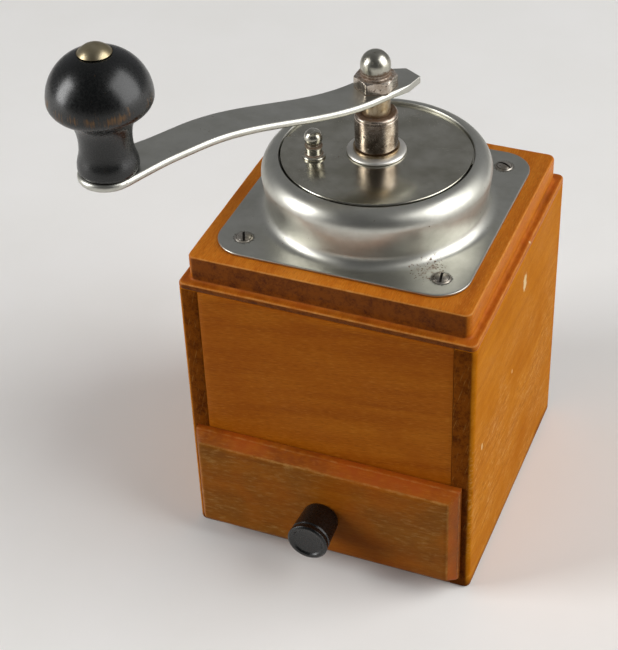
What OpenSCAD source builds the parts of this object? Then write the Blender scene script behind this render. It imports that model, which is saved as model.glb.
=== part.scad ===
// Hand coffee mill: a wooden box with a drawer, a domed metal hopper and a crank on top.
// Millimetres. The origin lies on the table under the middle of the box; the drawer faces -Y.

/* [Box] */
// Width of the box
body_w = 115; // [110:1:140]
// Depth of the box
body_d = 115; // [110:1:140]
// Height of the walls, up to the underside of the top board
wall_h = 118.5; // [112:0.5:150]
// Thickness of the wall boards
board_t = 8; // [6:0.5:9]
// Thickness of the base board
base_t = 8; // [6:0.5:10]
// Rounding of the upright outer edges
upright_r = 2.5; // [1:0.5:4]
// Rounding of the lower outer edges
foot_r = 1.2; // [0.6:0.2:2]

/* [Top board] */
// Thickness of the full-width layer that caps the walls
ledge_t = 2.5; // [2:0.5:5]
// Thickness of the raised layer
step_t = 10.5; // [8:0.5:15]
// Inset of the raised layer from the ledge, on each side
step_inset = 3.2; // [2:0.2:5]
// Rounding of the raised layer's upright corners
step_r = 3; // [1.5:0.5:6]
// Rounding of the upper edges of both layers
top_edge_r = 1.6; // [0.6:0.2:1.8]
// Radius of the hole that the beans fall through
bean_hole_r = 40; // [36:0.5:40]

/* [Drawer] */
// Height of the opening that the drawer slides into
bay_h = 42.5; // [32:0.5:44]
// Thickness of the drawer front
front_t = 8; // [6:0.5:12]
// Lap of the drawer front over the wall above its opening
front_lap = 2.8; // [1:0.2:6]
// Drop of the drawer front below the top of the base board
front_drop = 1.2; // [0.4:0.2:4]
// Strip of wall left bare on each side of the drawer front
front_reveal = 3.6; // [2:0.2:6]
// Width of the bevel round the drawer front
bevel_w = 3; // [1:0.2:5]
// Depth of that bevel
bevel_t = 5; // [1:0.2:5.5]
// Thickness of the drawer's sides and back
drawer_wall_t = 5; // [3:0.5:7]
// Thickness of the drawer's floor
drawer_floor_t = 3.5; // [2:0.5:6]
// Space above the drawer's sides in the opening
drawer_head_gap = 4; // [1:0.5:8]
// Play of the drawer on each side
drawer_side_gap = 0.5; // [0.2:0.1:1]
// Space behind the drawer when it is shut
drawer_end_gap = 1.5; // [0.5:0.5:6]
// Running clearance under the drawer and behind its front
slide_gap = 0.2; // [0.1:0.1:0.5]

/* [Drawer knob] */
// Radius at the rim of the knob
pull_r = 8.1; // [6:0.1:11]
// Radius where the knob meets the drawer
pull_foot_r = 7.2; // [5:0.1:8]
// Length of the knob
pull_len = 15.2; // [10:0.2:24]
// Depth of the dish in the knob's end
pull_dish = 0.8; // [0.4:0.1:1.5]
// Distance of the knob below the middle of the drawer front
pull_drop = 2.4; // [0:0.2:6]
// Radius of the screw that holds the knob
pull_screw_r = 2; // [1.5:0.1:3]
// Depth of that screw in the knob
pull_screw_grip = 9; // [6:0.5:9]

/* [Dome] */
// Width of the square flange
flange_w = 97; // [94:0.5:101]
// Corner radius of the flange
flange_r = 12.5; // [6:0.5:16]
// Thickness of the pressed sheet
sheet_t = 1.2; // [0.8:0.1:1.6]
// Largest radius of the dome
dome_r = 43; // [42:0.2:44]
// Radius of the dome's waist above its flange
waist_r = 41.7; // [41.2:0.1:42]
// Radius of the cove between waist and flange
cove_r = 4.5; // [2:0.1:5]
// Height of the dome's rim above the top board
dome_h = 23.5; // [20:0.5:32]
// Radius of the dome's shoulder
shoulder_r = 7; // [5:0.2:9]
// Width of the inner seat for the deck
seat_w = 3; // [2.4:0.2:4]
// Distance between neighbouring flange screws
screw_pitch = 76.3; // [74:0.1:77]
// Radius of a flange screw's head
screw_head_r = 3.6; // [3:0.1:4.6]
// Height of a flange screw's head
screw_head_h = 1.4; // [1.2:0.1:3]
// Radius of a flange screw's shank
screw_r = 1.9; // [1.4:0.1:2.2]
// Length of a flange screw below its head
screw_len = 12; // [8:0.5:12.5]
// Width of a screw slot
slot_w = 0.9; // [0.6:0.1:1.4]
// Depth of a screw slot
slot_t = 0.8; // [0.4:0.1:1.2]

/* [Lid and deck] */
// Radius of the half-moon lid
lid_r = 35.6; // [34:0.1:36]
// Thickness of the lid
lid_t = 1.2; // [0.8:0.1:2]
// Gap between the lid's round edge and the rim
rim_gap = 0.6; // [0.3:0.1:1]
// Height of the lid's face above the rim
lid_rise = 0.3; // [0:0.1:1]
// Distance of the lid's straight edge behind the spindle
lid_back = 5; // [2:0.5:8]
// Angle of the lid and its deck about the spindle
lid_angle = 11; // [-20:1:20]
// Thickness of the deck
deck_t = 1.5; // [1:0.1:2.5]
// Distance of the deck's straight edge in front of the spindle
deck_front = 2; // [0:0.5:5]
// Radius of the deck's ear round the bush
deck_ear_r = 13; // [12:0.5:15]
// Running gap between the flat faces of lid, deck and bush
face_gap = 0.3; // [0.1:0.1:0.5]
// Radius of the ball on the lid
ball_r = 3.4; // [2:0.1:5]
// Height of the ball's centre above the lid
ball_z = 8; // [7.5:0.1:12]
// Radius of the ball knob's foot
ball_foot_r = 4.4; // [3:0.1:5]
// Distance of the ball knob from the spindle
ball_reach = 23.2; // [19:0.2:28]
// Angle of the ball knob in the lid, from the middle of its round edge
ball_angle = -73; // [-75:1:75]

/* [Bearing and spindle] */
// Radius of the spindle
spindle_r = 5.3; // [4.5:0.1:5.6]
// Radius of the spindle's lower journal
journal_r = 4; // [3:0.1:4.4]
// Running clearance of a shaft in its bore
run_gap = 0.05; // [0.02:0.01:0.1]
// Radius of the bush under the lid
bush_r = 8; // [7.6:0.1:9]
// Radius of the bush's threaded tail
tail_r = 7; // [6.5:0.1:7.4]
// Radius of the bush's flange
hub_r = 11.1; // [10.6:0.1:13]
// Thickness of the bush's flange
hub_t = 1.4; // [1:0.1:3]
// Distance across the flats of the nut under the deck
bush_nut_w = 20; // [18:0.5:22]
// Thickness of the nut under the deck
bush_nut_t = 3; // [2:0.5:5]
// Radius of the thrust washer
washer_r = 8.6; // [7.6:0.1:10]
// Thickness of the thrust washer
washer_t = 0.9; // [0.6:0.1:1.5]
// Radius of the adjusting sleeve
sleeve_r = 8; // [7:0.1:10]
// Height of the adjusting sleeve
sleeve_h = 14.3; // [10:0.1:18]
// Chamfer at the top of the sleeve
sleeve_chamfer = 0.8; // [0.5:0.1:2]
// Length of bare spindle between sleeve and crank
neck_h = 7.5; // [4:0.5:12]

/* [Spring] */
// Radius of the spring wire
wire_r = 0.75; // [0.5:0.05:1]
// Mean radius of the spring
coil_r = 7.4; // [7.2:0.1:8.5]
// Number of turns
turns = 6; // [4:1:8]
// Height of the spring
spring_h = 31.5; // [26:0.5:34]
// Radius of the spring seat
spring_seat_r = 9.5; // [9:0.1:11]
// Thickness of the spring seat
spring_seat_t = 1.5; // [1:0.1:3]
// Radius of the pin under the spring seat
seat_pin_r = 1.2; // [0.8:0.1:1.5]
// Length of that pin
seat_pin_len = 17; // [14:0.5:18]

/* [Mill] */
// Depth of the hopper bowl's cone
bowl_h = 26.5; // [22:0.5:30]
// Wall of the hopper bowl
bowl_wall = 3.5; // [2.5:0.5:5]
// Thickness of the bowl's flange under the top board
bowl_flange_t = 3.5; // [3:0.5:5]
// Width of that flange outside the bean hole
bowl_flange_w = 4; // [3:0.5:4.5]
// Radius of the bowl's screw lugs
lug_r = 5; // [4:0.5:6]
// Distance between neighbouring bowl screws
lug_pitch = 64; // [60:1:67]
// Radius of the bowl screws
bowl_screw_r = 1.75; // [1.2:0.05:2]
// Depth of the bowl screws in the top board
bowl_screw_grip = 9; // [6:0.5:10]
// Height of the seat for the outer burr
burr_seat_h = 22; // [20.5:0.5:24]
// Wall of that seat
burr_seat_wall = 5; // [4.5:0.5:7]
// Outer radius of the outer burr
burr_r = 20.5; // [20:0.5:24]
// Height of the outer burr
burr_h = 19; // [16:0.5:19]
// Radius of the outer burr's bore at the bottom
burr_mouth_r = 18.3; // [17:0.1:18.5]
// Radius of the outer burr's bore at the top
burr_throat_r = 14.6; // [13:0.1:16]
// Gap between the burrs at the bottom
burr_gap = 0.7; // [0.5:0.05:1]
// Radius at the top of the inner burr
cone_top_r = 9.5; // [8.5:0.1:11]
// Height of the inner burr
cone_h = 21; // [18:0.5:22]
// Number of flutes on each burr
flutes = 16; // [12:1:20]
// Depth of the flutes
flute_t = 1.4; // [0.8:0.1:1.6]
// Skew of the flutes
flute_skew = 14; // [0:1:20]
// Radius of the inner burr's cross pin
burr_pin_r = 1.5; // [1:0.1:2]
// Clearance under both burrs
burr_foot_gap = 1; // [0.5:0.1:1.5]
// Width of the bridge under the burrs
bridge_w = 11; // [10:0.5:14]
// Thickness of the bridge
bridge_t = 4.5; // [3:0.5:6]
// Radius of the bridge's bearing boss
boss_r = 8; // [6.5:0.5:10]
// Height of the bearing boss
boss_h = 10; // [7:0.5:12]
// Radius of the bridge screws
bridge_screw_r = 1.4; // [1:0.1:1.5]
// Depth of the bridge screws in the bowl
bridge_screw_grip = 8; // [5:0.5:12]

/* [Crank] */
// Distance of the knob from the spindle
crank_reach = 112; // [95:1:130]
// Direction of the crank about the spindle
crank_angle = 240; // [0:5:355]
// Width of the arm
crank_w = 15.6; // [13:0.2:18]
// Thickness of the arm
crank_t = 3; // [2:0.2:4]
// Rise of the arm from the spindle to the knob
crank_rise = 12.8; // [0:0.2:20]
// Start of the arm's bend
bend_from = 5; // [0:1:15]
// End of the arm's bend
bend_to = 80; // [60:1:85]
// Length of the arm behind the spindle
heel_len = 16.3; // [14:0.1:20]
// Length of the heel's clipped corners
heel_clip_len = 7.3; // [3:0.1:8]
// Width of the corner clipped on the arm's right
heel_clip_right = 5.6; // [1:0.1:6]
// Width of the corner clipped on its left
heel_clip_left = 2.2; // [1:0.1:6]
// Radius of the eye under the knob
eye_r = 10; // [9.5:0.1:12]
// Shift of the eye beyond the knob
eye_shift = 0.7; // [0:0.1:3]
// Length over which the arm widens to the eye
flare_len = 24; // [12:1:30]
// Width of the square on the spindle's end
square_w = 7.4; // [6.5:0.1:7.4]
// Distance across the flats of the acorn nut
nut_w = 14; // [13:0.1:16]
// Height of the nut's hexagon
nut_h = 4.7; // [4:0.1:7]
// Height of the acorn above the hexagon
acorn_h = 9.5; // [8:0.1:12]
// Radius of the acorn
acorn_r = 5.55; // [5:0.05:6.3]
// Turn of the nut's corners about the spindle
nut_turn = 24; // [0:1:59]
// Radius of the spindle's threaded end
stud_r = 3.6; // [3:0.1:3.6]

/* [Crank knob] */
// Height of the knob
knob_h = 43; // [38:0.5:55]
// Largest radius of the knob
knob_r = 17.2; // [16:0.2:22]
// Height of the widest place
knob_belly_z = 26.6; // [24:0.2:30]
// Height of the half-round under the widest place
knob_under_h = 8; // [6:0.1:12]
// Distance by which that half-round starts beyond the neck
knob_flare_w = 4.7; // [3:0.1:6]
// Radius of the knob's foot
knob_foot_r = 10.2; // [9.8:0.1:11.5]
// Radius of the knob's neck
knob_neck_r = 8.8; // [8.5:0.1:9.6]
// Height of the neck
knob_neck_z = 10.5; // [9.5:0.1:11]
// Radius of the knob pin
pin_r = 3; // [2.2:0.1:4]
// Radius of the pin's domed head
cap_r = 5.7; // [5:0.1:8]
// Height of that head
cap_h = 3; // [2:0.1:4]
// Gap between knob, arm and pin head
knob_gap = 0.3; // [0.1:0.1:0.5]
// Radius of the rivet head under the arm
rivet_r = 5; // [4:0.1:6]
// Height of that rivet head
rivet_h = 1.6; // [1:0.1:2.5]

/* [Hidden] */
$fn = 72;
// Room that a cut takes beyond the faces it leaves through
past = 1;
bay_top = base_t + bay_h;
board_top = wall_h + ledge_t + step_t;
inner_w = body_w - 2 * board_t;
inner_back = body_d / 2 - board_t;

drawer_w = inner_w - 2 * drawer_side_gap;
drawer_z = base_t + slide_gap;
drawer_h = bay_h - drawer_head_gap;
drawer_front_y = -body_d / 2 - slide_gap;
drawer_back_y = inner_back - drawer_end_gap;
drawer_len = drawer_back_y - drawer_front_y;
front_w = body_w - 2 * front_reveal;
front_z = base_t - front_drop;
front_h = bay_h + front_lap + front_drop;
pull_z = front_z + front_h / 2 - pull_drop;
pull_rim_w = 1.4;
pull_lip = 0.7;
pull_head_r = 2 * pull_screw_r;
pull_head_h = 0.3 * front_t;

cove_foot_r = waist_r + cove_r;
rim_z = board_top + dome_h;
rim_r = lid_r + rim_gap;
lid_top = rim_z + lid_rise;
lid_z = lid_top - lid_t;
lid_edge_r = 0.45 * lid_t;
lid_ear_r = hub_r - rim_gap;
deck_top = lid_z - face_gap;
deck_z = deck_top - deck_t;
deck_play = 0.1;
seat_r = rim_r - seat_w;
deck_rivet_r = 0.9;
deck_rivet_head_r = 1.3;
deck_rivet_head_h = 0.8;
deck_rivet_reach = rim_r - seat_w / 2;
deck_rivet_angles = [30, 90, 150];
ball_stem_r = 0.85 * ball_r;
ball_tail_r = 1.5;

hub_z = lid_top + face_gap;
hub_top = hub_z + hub_t;
tail_z = deck_z - bush_nut_t;
bush_bore_r = spindle_r + run_gap;
washer_z = hub_top + run_gap;
sleeve_z = washer_z + washer_t + run_gap;
sleeve_top = sleeve_z + sleeve_h;
crank_z = sleeve_top + neck_h;
crank_top = crank_z + crank_t;
spring_z = tail_z - run_gap - spring_h;
spring_seat_z = spring_z - spring_seat_t;
seat_pin_z = spring_seat_z - seat_pin_r;

throat_z = wall_h - bowl_h;
seat_bottom = throat_z - burr_seat_h;
burr_z = seat_bottom + burr_foot_gap;
burr_top = burr_z + burr_h;
cone_r = burr_mouth_r - burr_gap;
boss_z = seat_bottom - boss_h;
bridge_z = seat_bottom - bridge_t;
bridge_reach = burr_r + burr_seat_wall / 2;
bridge_end_r = bridge_w / 2;
bridge_screw_head_r = 1.8 * bridge_screw_r;
bridge_screw_head_h = 2 * bridge_screw_r;
bowl_screw_head_r = 1.9 * bowl_screw_r;
bowl_screw_head_h = 0.5 * bowl_flange_t;
burr_pin_z = burr_z + 0.8 * cone_h;
burr_pin_len = 2 * cone_top_r;

eye_x = crank_reach + eye_shift;
knob_z = crank_top + crank_rise + knob_gap;
knob_bore_r = pin_r + run_gap;
knob_bevel = 0.8;
cap_seat_r = cap_r + 0.3;
cap_seat_z = knob_belly_z + (knob_h - knob_belly_z) * sqrt(1 - pow(cap_seat_r / knob_r, 2));
cap_z = knob_z + cap_seat_z + knob_gap;
nut_corner_r = nut_w / 2 / cos(30);

// Colours as the photograph shows them
beech = [0.72, 0.40, 0.12];
shaded_beech = [0.60, 0.32, 0.10];
nickel = [0.66, 0.65, 0.62];
worn_steel = [0.50, 0.45, 0.40];
cast_iron = [0.28, 0.28, 0.29];
black_paint = [0.06, 0.06, 0.06];

// Points on an arc about c, in equal steps
function arc(c, r, from, to, steps = 12) =
    [for (i = [0 : steps]) let (a = from + (to - from) * i / steps) c + r * [cos(a), sin(a)]];

// Points on a cubic curve with four control points
function curve(p, steps = 8) =
    [for (i = [0 : steps]) let (t = i / steps, u = 1 - t)
        u * u * u * p[0] + 3 * u * u * t * p[1] + 3 * u * t * t * p[2] + t * t * t * p[3]];

// Smooth step from 0 to 1
function ease(t) = let (c = min(max(t, 0), 1)) c * c * (3 - 2 * c);

// Outline with four round corners
module rounded_rect(w, d, r) {
    square([w - 2 * r, d], center = true);
    square([w, d - 2 * r], center = true);
    for (x = [-1, 1], y = [-1, 1])
        translate([x * (w / 2 - r), y * (d / 2 - r)])
            circle(r);
}

// Outline that stands on the axis, with its two upper corners round
module arched_rect(w, h, r) {
    translate([-w / 2, 0])
        square([w, h - r]);
    translate([r - w / 2, 0])
        square([w - 2 * r, h]);
    for (x = [-1, 1])
        translate([x * (w / 2 - r), h - r])
            circle(r);
}

// Block with round upright corners and round upper edges
module eased_block(w, d, h, corner_r, edge_r) {
    intersection() {
        linear_extrude(h)
            rounded_rect(w, d, corner_r);
        rotate([90, 0, 0])
            linear_extrude(d, center = true)
                arched_rect(w, h, edge_r);
        rotate([90, 0, 90])
            linear_extrude(w, center = true)
                arched_rect(d, h, edge_r);
    }
}

// Copies at the four corners of a square
module at_corners(pitch) {
    for (x = [-1, 1], y = [-1, 1])
        translate([x * pitch / 2, y * pitch / 2, 0])
            children();
}

// Ring between two radii
module ring(inner_r, outer_r, h) {
    rotate_extrude()
        translate([inner_r, 0])
            square([outer_r - inner_r, h]);
}

// Countersunk screw: its head's face at z = 0, its shank upwards
module countersunk_screw(head_r, head_h, shank_r, len) {
    difference() {
        union() {
            cylinder(r1 = head_r, r2 = shank_r, h = head_h);
            cylinder(r = shank_r, h = len - shank_r);
            translate([0, 0, len - shank_r])
                cylinder(r1 = shank_r, r2 = shank_r / 4, h = shank_r);
        }
        translate([-head_r - past, -slot_w / 2, -past])
            cube([2 * (head_r + past), slot_w, past + head_h / 2]);
    }
}

// Room for that screw, open below its head
module countersunk_hole(head_r, head_h, shank_r, len) {
    translate([0, 0, -past])
        cylinder(r = head_r, h = past);
    cylinder(r1 = head_r, r2 = shank_r, h = head_h);
    cylinder(r = shank_r, h = len);
}

// The box as one block, from which the walls are cut
module box_form() {
    translate([0, 0, wall_h])
        mirror([0, 0, 1])
            eased_block(body_w, body_d, wall_h, upright_r, foot_r);
}

// Side wall: a full-depth board, so that its end grain shows beside the front
module side_panel(side) {
    intersection() {
        box_form();
        translate([side * (body_w - board_t) / 2, 0, wall_h / 2])
            cube([board_t, body_d, wall_h], center = true);
    }
}

module left_side_panel() {
    color(beech)
        side_panel(-1);
}

module right_side_panel() {
    color(beech)
        side_panel(1);
}

module front_panel() {
    color(shaded_beech)
        translate([-inner_w / 2, -body_d / 2, bay_top])
            cube([inner_w, board_t, wall_h - bay_top]);
}

module back_panel() {
    color(shaded_beech)
        intersection() {
            box_form();
            translate([-inner_w / 2, inner_back, 0])
                cube([inner_w, board_t, wall_h]);
        }
}

module base_board() {
    color(shaded_beech)
        intersection() {
            box_form();
            translate([-inner_w / 2, -body_d / 2, 0])
                cube([inner_w, body_d - board_t, base_t]);
        }
}

module top_board() {
    color(beech)
        difference() {
            union() {
                translate([0, 0, wall_h])
                    eased_block(body_w, body_d, ledge_t, upright_r, top_edge_r);
                translate([0, 0, wall_h])
                    eased_block(body_w - 2 * step_inset, body_d - 2 * step_inset, ledge_t + step_t,
                        step_r, top_edge_r);
            }
            translate([0, 0, wall_h - past])
                cylinder(r = bean_hole_r, h = board_top - wall_h + 2 * past);
            at_corners(screw_pitch)
                translate([0, 0, board_top + sheet_t - screw_len])
                    cylinder(r = screw_r, h = screw_len);
            at_corners(lug_pitch)
                translate([0, 0, wall_h - bowl_flange_t])
                    cylinder(r = bowl_screw_r, h = bowl_flange_t + bowl_screw_grip);
        }
}

// Bevelled edge of the drawer front, drawn across one direction
module bevel_outline(len) {
    polygon([
        [-len / 2, 0], [len / 2, 0], [len / 2, front_t - bevel_t], [len / 2 - bevel_w, front_t],
        [bevel_w - len / 2, front_t], [-len / 2, front_t - bevel_t]
    ]);
}

module drawer_front() {
    color(beech)
        translate([0, drawer_front_y, front_z + front_h / 2])
            difference() {
                intersection() {
                    mirror([0, 1, 0])
                        linear_extrude(front_h, center = true)
                            bevel_outline(front_w);
                    rotate([0, 90, 0])
                        mirror([0, 1, 0])
                            linear_extrude(front_w, center = true)
                                bevel_outline(front_h);
                }
                translate([0, 0, -pull_drop])
                    rotate([90, 0, 0])
                        countersunk_hole(pull_head_r, pull_head_h, pull_screw_r, front_t + past);
            }
}

module drawer_side(side) {
    translate([side * (drawer_w - drawer_wall_t) / 2 - drawer_wall_t / 2, drawer_front_y, drawer_z])
        cube([drawer_wall_t, drawer_len, drawer_h]);
}

module drawer_left_side() {
    color(shaded_beech)
        drawer_side(-1);
}

module drawer_right_side() {
    color(shaded_beech)
        drawer_side(1);
}

module drawer_back() {
    color(shaded_beech)
        translate([drawer_wall_t - drawer_w / 2, drawer_back_y - drawer_wall_t, drawer_z])
            cube([drawer_w - 2 * drawer_wall_t, drawer_wall_t, drawer_h]);
}

module drawer_floor() {
    color(shaded_beech)
        translate([drawer_wall_t - drawer_w / 2, drawer_front_y, drawer_z])
            cube([drawer_w - 2 * drawer_wall_t, drawer_len - drawer_wall_t, drawer_floor_t]);
}

module drawer_knob() {
    color(black_paint)
        translate([0, drawer_front_y - front_t, pull_z])
            rotate([90, 0, 0])
                difference() {
                    rotate_extrude()
                        polygon([
                            [0, 0], [pull_foot_r, 0], [pull_r, pull_len - pull_lip],
                            [pull_r - pull_lip, pull_len], [pull_r - pull_rim_w, pull_len],
                            [pull_r - pull_rim_w - pull_dish, pull_len - pull_dish], [0, pull_len - pull_dish]
                        ]);
                    translate([0, 0, -past])
                        cylinder(r = pull_screw_r, h = past + pull_screw_grip);
                }
}

module drawer_knob_screw() {
    color(worn_steel)
        translate([0, drawer_front_y, pull_z])
            rotate([90, 0, 0])
                countersunk_screw(pull_head_r, pull_head_h, pull_screw_r, front_t + pull_screw_grip);
}

// Half section of the dome, drawn inwards by t from its outer face
function dome_section(t) = concat(
    [[0, sheet_t - t]],
    arc([cove_foot_r, sheet_t + cove_r], cove_r + t, 270, 180),
    arc([dome_r - shoulder_r, dome_h - shoulder_r], shoulder_r - t, 0, 90),
    [[0, dome_h - t]]
);

module dome_housing() {
    cove_lap = 0.5;
    color(nickel)
        translate([0, 0, board_top])
            difference() {
                union() {
                    linear_extrude(sheet_t)
                        difference() {
                            rounded_rect(flange_w, flange_w, flange_r);
                            circle(cove_foot_r - cove_lap);
                        }
                    rotate_extrude()
                        difference() {
                            polygon(dome_section(0));
                            polygon(dome_section(sheet_t));
                            square([rim_r, dome_h + past]);
                        }
                    rotate_extrude()
                        translate([rim_r, deck_z - board_top - sheet_t])
                            square([sheet_t, dome_h - sheet_t / 2 - (deck_z - board_top - sheet_t)]);
                    translate([0, 0, deck_z - board_top - sheet_t])
                        ring(seat_r, rim_r + sheet_t, sheet_t);
                }
                at_corners(screw_pitch)
                    translate([0, 0, -past])
                        cylinder(r = screw_r, h = sheet_t + 2 * past);
                rotate([0, 0, lid_angle])
                    for (a = deck_rivet_angles)
                        rotate([0, 0, a])
                            translate([deck_rivet_reach, 0, 0])
                                cylinder(r = deck_rivet_r, h = deck_z - board_top + past);
            }
}

// Round-head screw with its slot turned, its head's underside at z = 0
module round_head_screw(turn) {
    ball = (screw_head_r * screw_head_r + screw_head_h * screw_head_h) / (2 * screw_head_h);
    difference() {
        union() {
            intersection() {
                translate([0, 0, screw_head_h - ball])
                    sphere(ball);
                cylinder(r = screw_head_r, h = screw_head_h + past);
            }
            translate([0, 0, screw_r - screw_len])
                cylinder(r = screw_r, h = screw_len - screw_r);
            translate([0, 0, -screw_len])
                cylinder(r1 = screw_r / 4, r2 = screw_r, h = screw_r);
        }
        rotate([0, 0, turn])
            translate([-screw_head_r - past, -slot_w / 2, screw_head_h - slot_t])
                cube([2 * (screw_head_r + past), slot_w, slot_t + past]);
    }
}

module dome_screws() {
    slot_turns = [-66, 110, 69, -36];
    color(worn_steel)
        for (i = [0 : 3])
            rotate([0, 0, 45 + 90 * i])
                translate([screw_pitch / sqrt(2), 0, board_top + sheet_t])
                    round_head_screw(slot_turns[i]);
}

module bearing_deck() {
    color(nickel)
        translate([0, 0, deck_z])
            rotate([0, 0, lid_angle])
                difference() {
                    union() {
                        intersection() {
                            cylinder(r = rim_r - deck_play, h = deck_t);
                            translate([-rim_r, -deck_front, -past])
                                cube([2 * rim_r, 2 * rim_r, deck_t + 2 * past]);
                        }
                        cylinder(r = deck_ear_r, h = deck_t);
                    }
                    translate([0, 0, -past])
                        cylinder(r = tail_r, h = deck_t + 2 * past);
                    for (a = deck_rivet_angles)
                        rotate([0, 0, a])
                            translate([deck_rivet_reach, 0, -past])
                                cylinder(r = deck_rivet_r, h = deck_t + 2 * past);
                }
}

module deck_rivets() {
    color(worn_steel)
        rotate([0, 0, lid_angle])
            for (a = deck_rivet_angles)
                rotate([0, 0, a])
                    translate([deck_rivet_reach, 0, deck_z - sheet_t]) {
                        cylinder(r = deck_rivet_r, h = sheet_t + deck_t);
                        translate([0, 0, -deck_rivet_head_h])
                            cylinder(r = deck_rivet_head_r, h = deck_rivet_head_h);
                    }
}

module bearing_bush() {
    rim_bevel = 0.35 * hub_t;
    color(nickel)
        rotate_extrude()
            polygon([
                [bush_bore_r, tail_z], [tail_r, tail_z], [tail_r, deck_top], [bush_r, deck_top],
                [bush_r, hub_z], [hub_r, hub_z], [hub_r, hub_top - rim_bevel],
                [hub_r - rim_bevel, hub_top], [bush_bore_r, hub_top]
            ]);
}

module bush_nut() {
    color(worn_steel)
        translate([0, 0, tail_z])
            difference() {
                cylinder(r = bush_nut_w / 2 / cos(30), h = bush_nut_t, $fn = 6);
                translate([0, 0, -past])
                    cylinder(r = tail_r, h = bush_nut_t + 2 * past);
            }
}

// Places a child at the ball knob's seat on the lid
module at_lid_knob() {
    rotate([0, 0, lid_angle - 90 + ball_angle])
        translate([ball_reach, 0, lid_z])
            children();
}

module filler_lid() {
    color(nickel)
        difference() {
            translate([0, 0, lid_z])
                rotate([0, 0, lid_angle]) {
                    intersection() {
                        rotate_extrude()
                            polygon(concat([[0, 0], [lid_r, 0]],
                                arc([lid_r - lid_edge_r, lid_t - lid_edge_r], lid_edge_r, 0, 90, 4),
                                [[0, lid_t]]));
                        translate([-lid_r - past, lid_back - 2 * (lid_r + past), -past])
                            cube([2 * (lid_r + past), 2 * (lid_r + past), lid_t + 2 * past]);
                    }
                    cylinder(r = lid_ear_r, h = lid_t);
                }
            translate([0, 0, lid_z - past])
                cylinder(r = bush_r + run_gap, h = lid_t + 2 * past);
            at_lid_knob()
                translate([0, 0, -past])
                    cylinder(r = ball_tail_r, h = lid_t + 2 * past);
        }
}

// Turned knob: a stepped foot, a grooved stem and a ball
module lid_knob() {
    foot_h = 0.16 * ball_z;
    bead_z = 0.44 * ball_z;
    bead_h = 0.12 * ball_z;
    color(nickel)
        at_lid_knob() {
            cylinder(r = ball_tail_r, h = lid_t);
            translate([0, 0, lid_t]) {
                cylinder(r = ball_foot_r, h = foot_h);
                cylinder(r1 = 0.85 * ball_foot_r, r2 = ball_stem_r, h = bead_z);
                cylinder(r = ball_stem_r, h = ball_z);
                translate([0, 0, bead_z])
                    cylinder(r = 0.97 * ball_r, h = bead_h);
                translate([0, 0, ball_z])
                    sphere(ball_r);
            }
        }
}

module thrust_washer() {
    color(worn_steel)
        translate([0, 0, washer_z])
            ring(bush_bore_r, washer_r, washer_t);
}

module adjusting_sleeve() {
    color(worn_steel)
        rotate_extrude()
            polygon([
                [bush_bore_r, sleeve_z], [sleeve_r, sleeve_z], [sleeve_r, sleeve_top - sleeve_chamfer],
                [sleeve_r - sleeve_chamfer, sleeve_top], [bush_bore_r, sleeve_top]
            ]);
}

// Spring wire: a helix between two short straight ends that meet their seats squarely
curl_rings = 8;
wire_sides = 6;
spring_rings = turns * curl_rings;
spring_lead = 2 * wire_r;
spring_path = [for (i = [-1 : spring_rings + 1])
    let (k = min(max(i, 0), spring_rings), a = 360 * k / curl_rings)
    [
        coil_r * cos(a),
        coil_r * sin(a),
        i < 0 ? 0 : i > spring_rings ? spring_h :
            spring_lead + (spring_h - 2 * spring_lead) * k / spring_rings
    ]];
spring_last = len(spring_path) - 1;
spring_gap = min([for (i = [0 : spring_last], j = [i + curl_rings / 2 : 1 : spring_last])
    norm(spring_path[i] - spring_path[j])]) - 2 * wire_r;

// Ring of wire points about point i, square to the wire's run there
function wire_ring(i) =
    let (
        here = spring_path[i],
        run = spring_path[min(i + 1, spring_last)] - spring_path[max(i - 1, 0)],
        out = [here[0], here[1], 0] / coil_r,
        side = cross(run / norm(run), out)
    )
    [for (s = [0 : wire_sides - 1]) let (a = 360 * s / wire_sides)
        here + wire_r * (cos(a) * out + sin(a) * side / norm(side))];

module thrust_spring() {
    points = [for (i = [0 : spring_last]) each wire_ring(i)];
    skin = [for (i = [0 : spring_last - 1], s = [0 : wire_sides - 1])
        let (a = i * wire_sides + s, b = i * wire_sides + (s + 1) % wire_sides)
        each [[a, b, b + wire_sides], [a, b + wire_sides, a + wire_sides]]];
    last = spring_last * wire_sides;
    ends = [for (s = [1 : wire_sides - 2]) each [[0, s + 1, s], [last, last + s, last + s + 1]]];
    echo(str("least gap in the spring: ", spring_gap, " mm"));
    color(worn_steel)
        translate([0, 0, spring_z])
            polyhedron(points, concat(skin, ends));
}

module spring_seat() {
    color(worn_steel)
        translate([0, 0, spring_seat_z])
            ring(spindle_r, spring_seat_r, spring_seat_t);
}

module spring_pin() {
    color(worn_steel)
        translate([0, 0, seat_pin_z])
            rotate([0, 90, 0])
                cylinder(r = seat_pin_r, h = seat_pin_len, center = true);
}

module spindle() {
    color(worn_steel)
        difference() {
            union() {
                translate([0, 0, boss_z])
                    cylinder(r = journal_r, h = burr_z - boss_z);
                translate([0, 0, burr_z])
                    cylinder(r = spindle_r, h = crank_z - burr_z);
                translate([-square_w / 2, -square_w / 2, crank_z])
                    cube([square_w, square_w, crank_t]);
                translate([0, 0, crank_top])
                    cylinder(r = stud_r, h = nut_h + acorn_h / 2);
            }
            translate([0, 0, seat_pin_z])
                rotate([0, 90, 0])
                    cylinder(r = seat_pin_r, h = 2 * spindle_r + 2 * past, center = true);
            translate([0, 0, burr_pin_z])
                rotate([0, 90, 0])
                    cylinder(r = burr_pin_r, h = 2 * spindle_r + 2 * past, center = true);
        }
}

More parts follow.
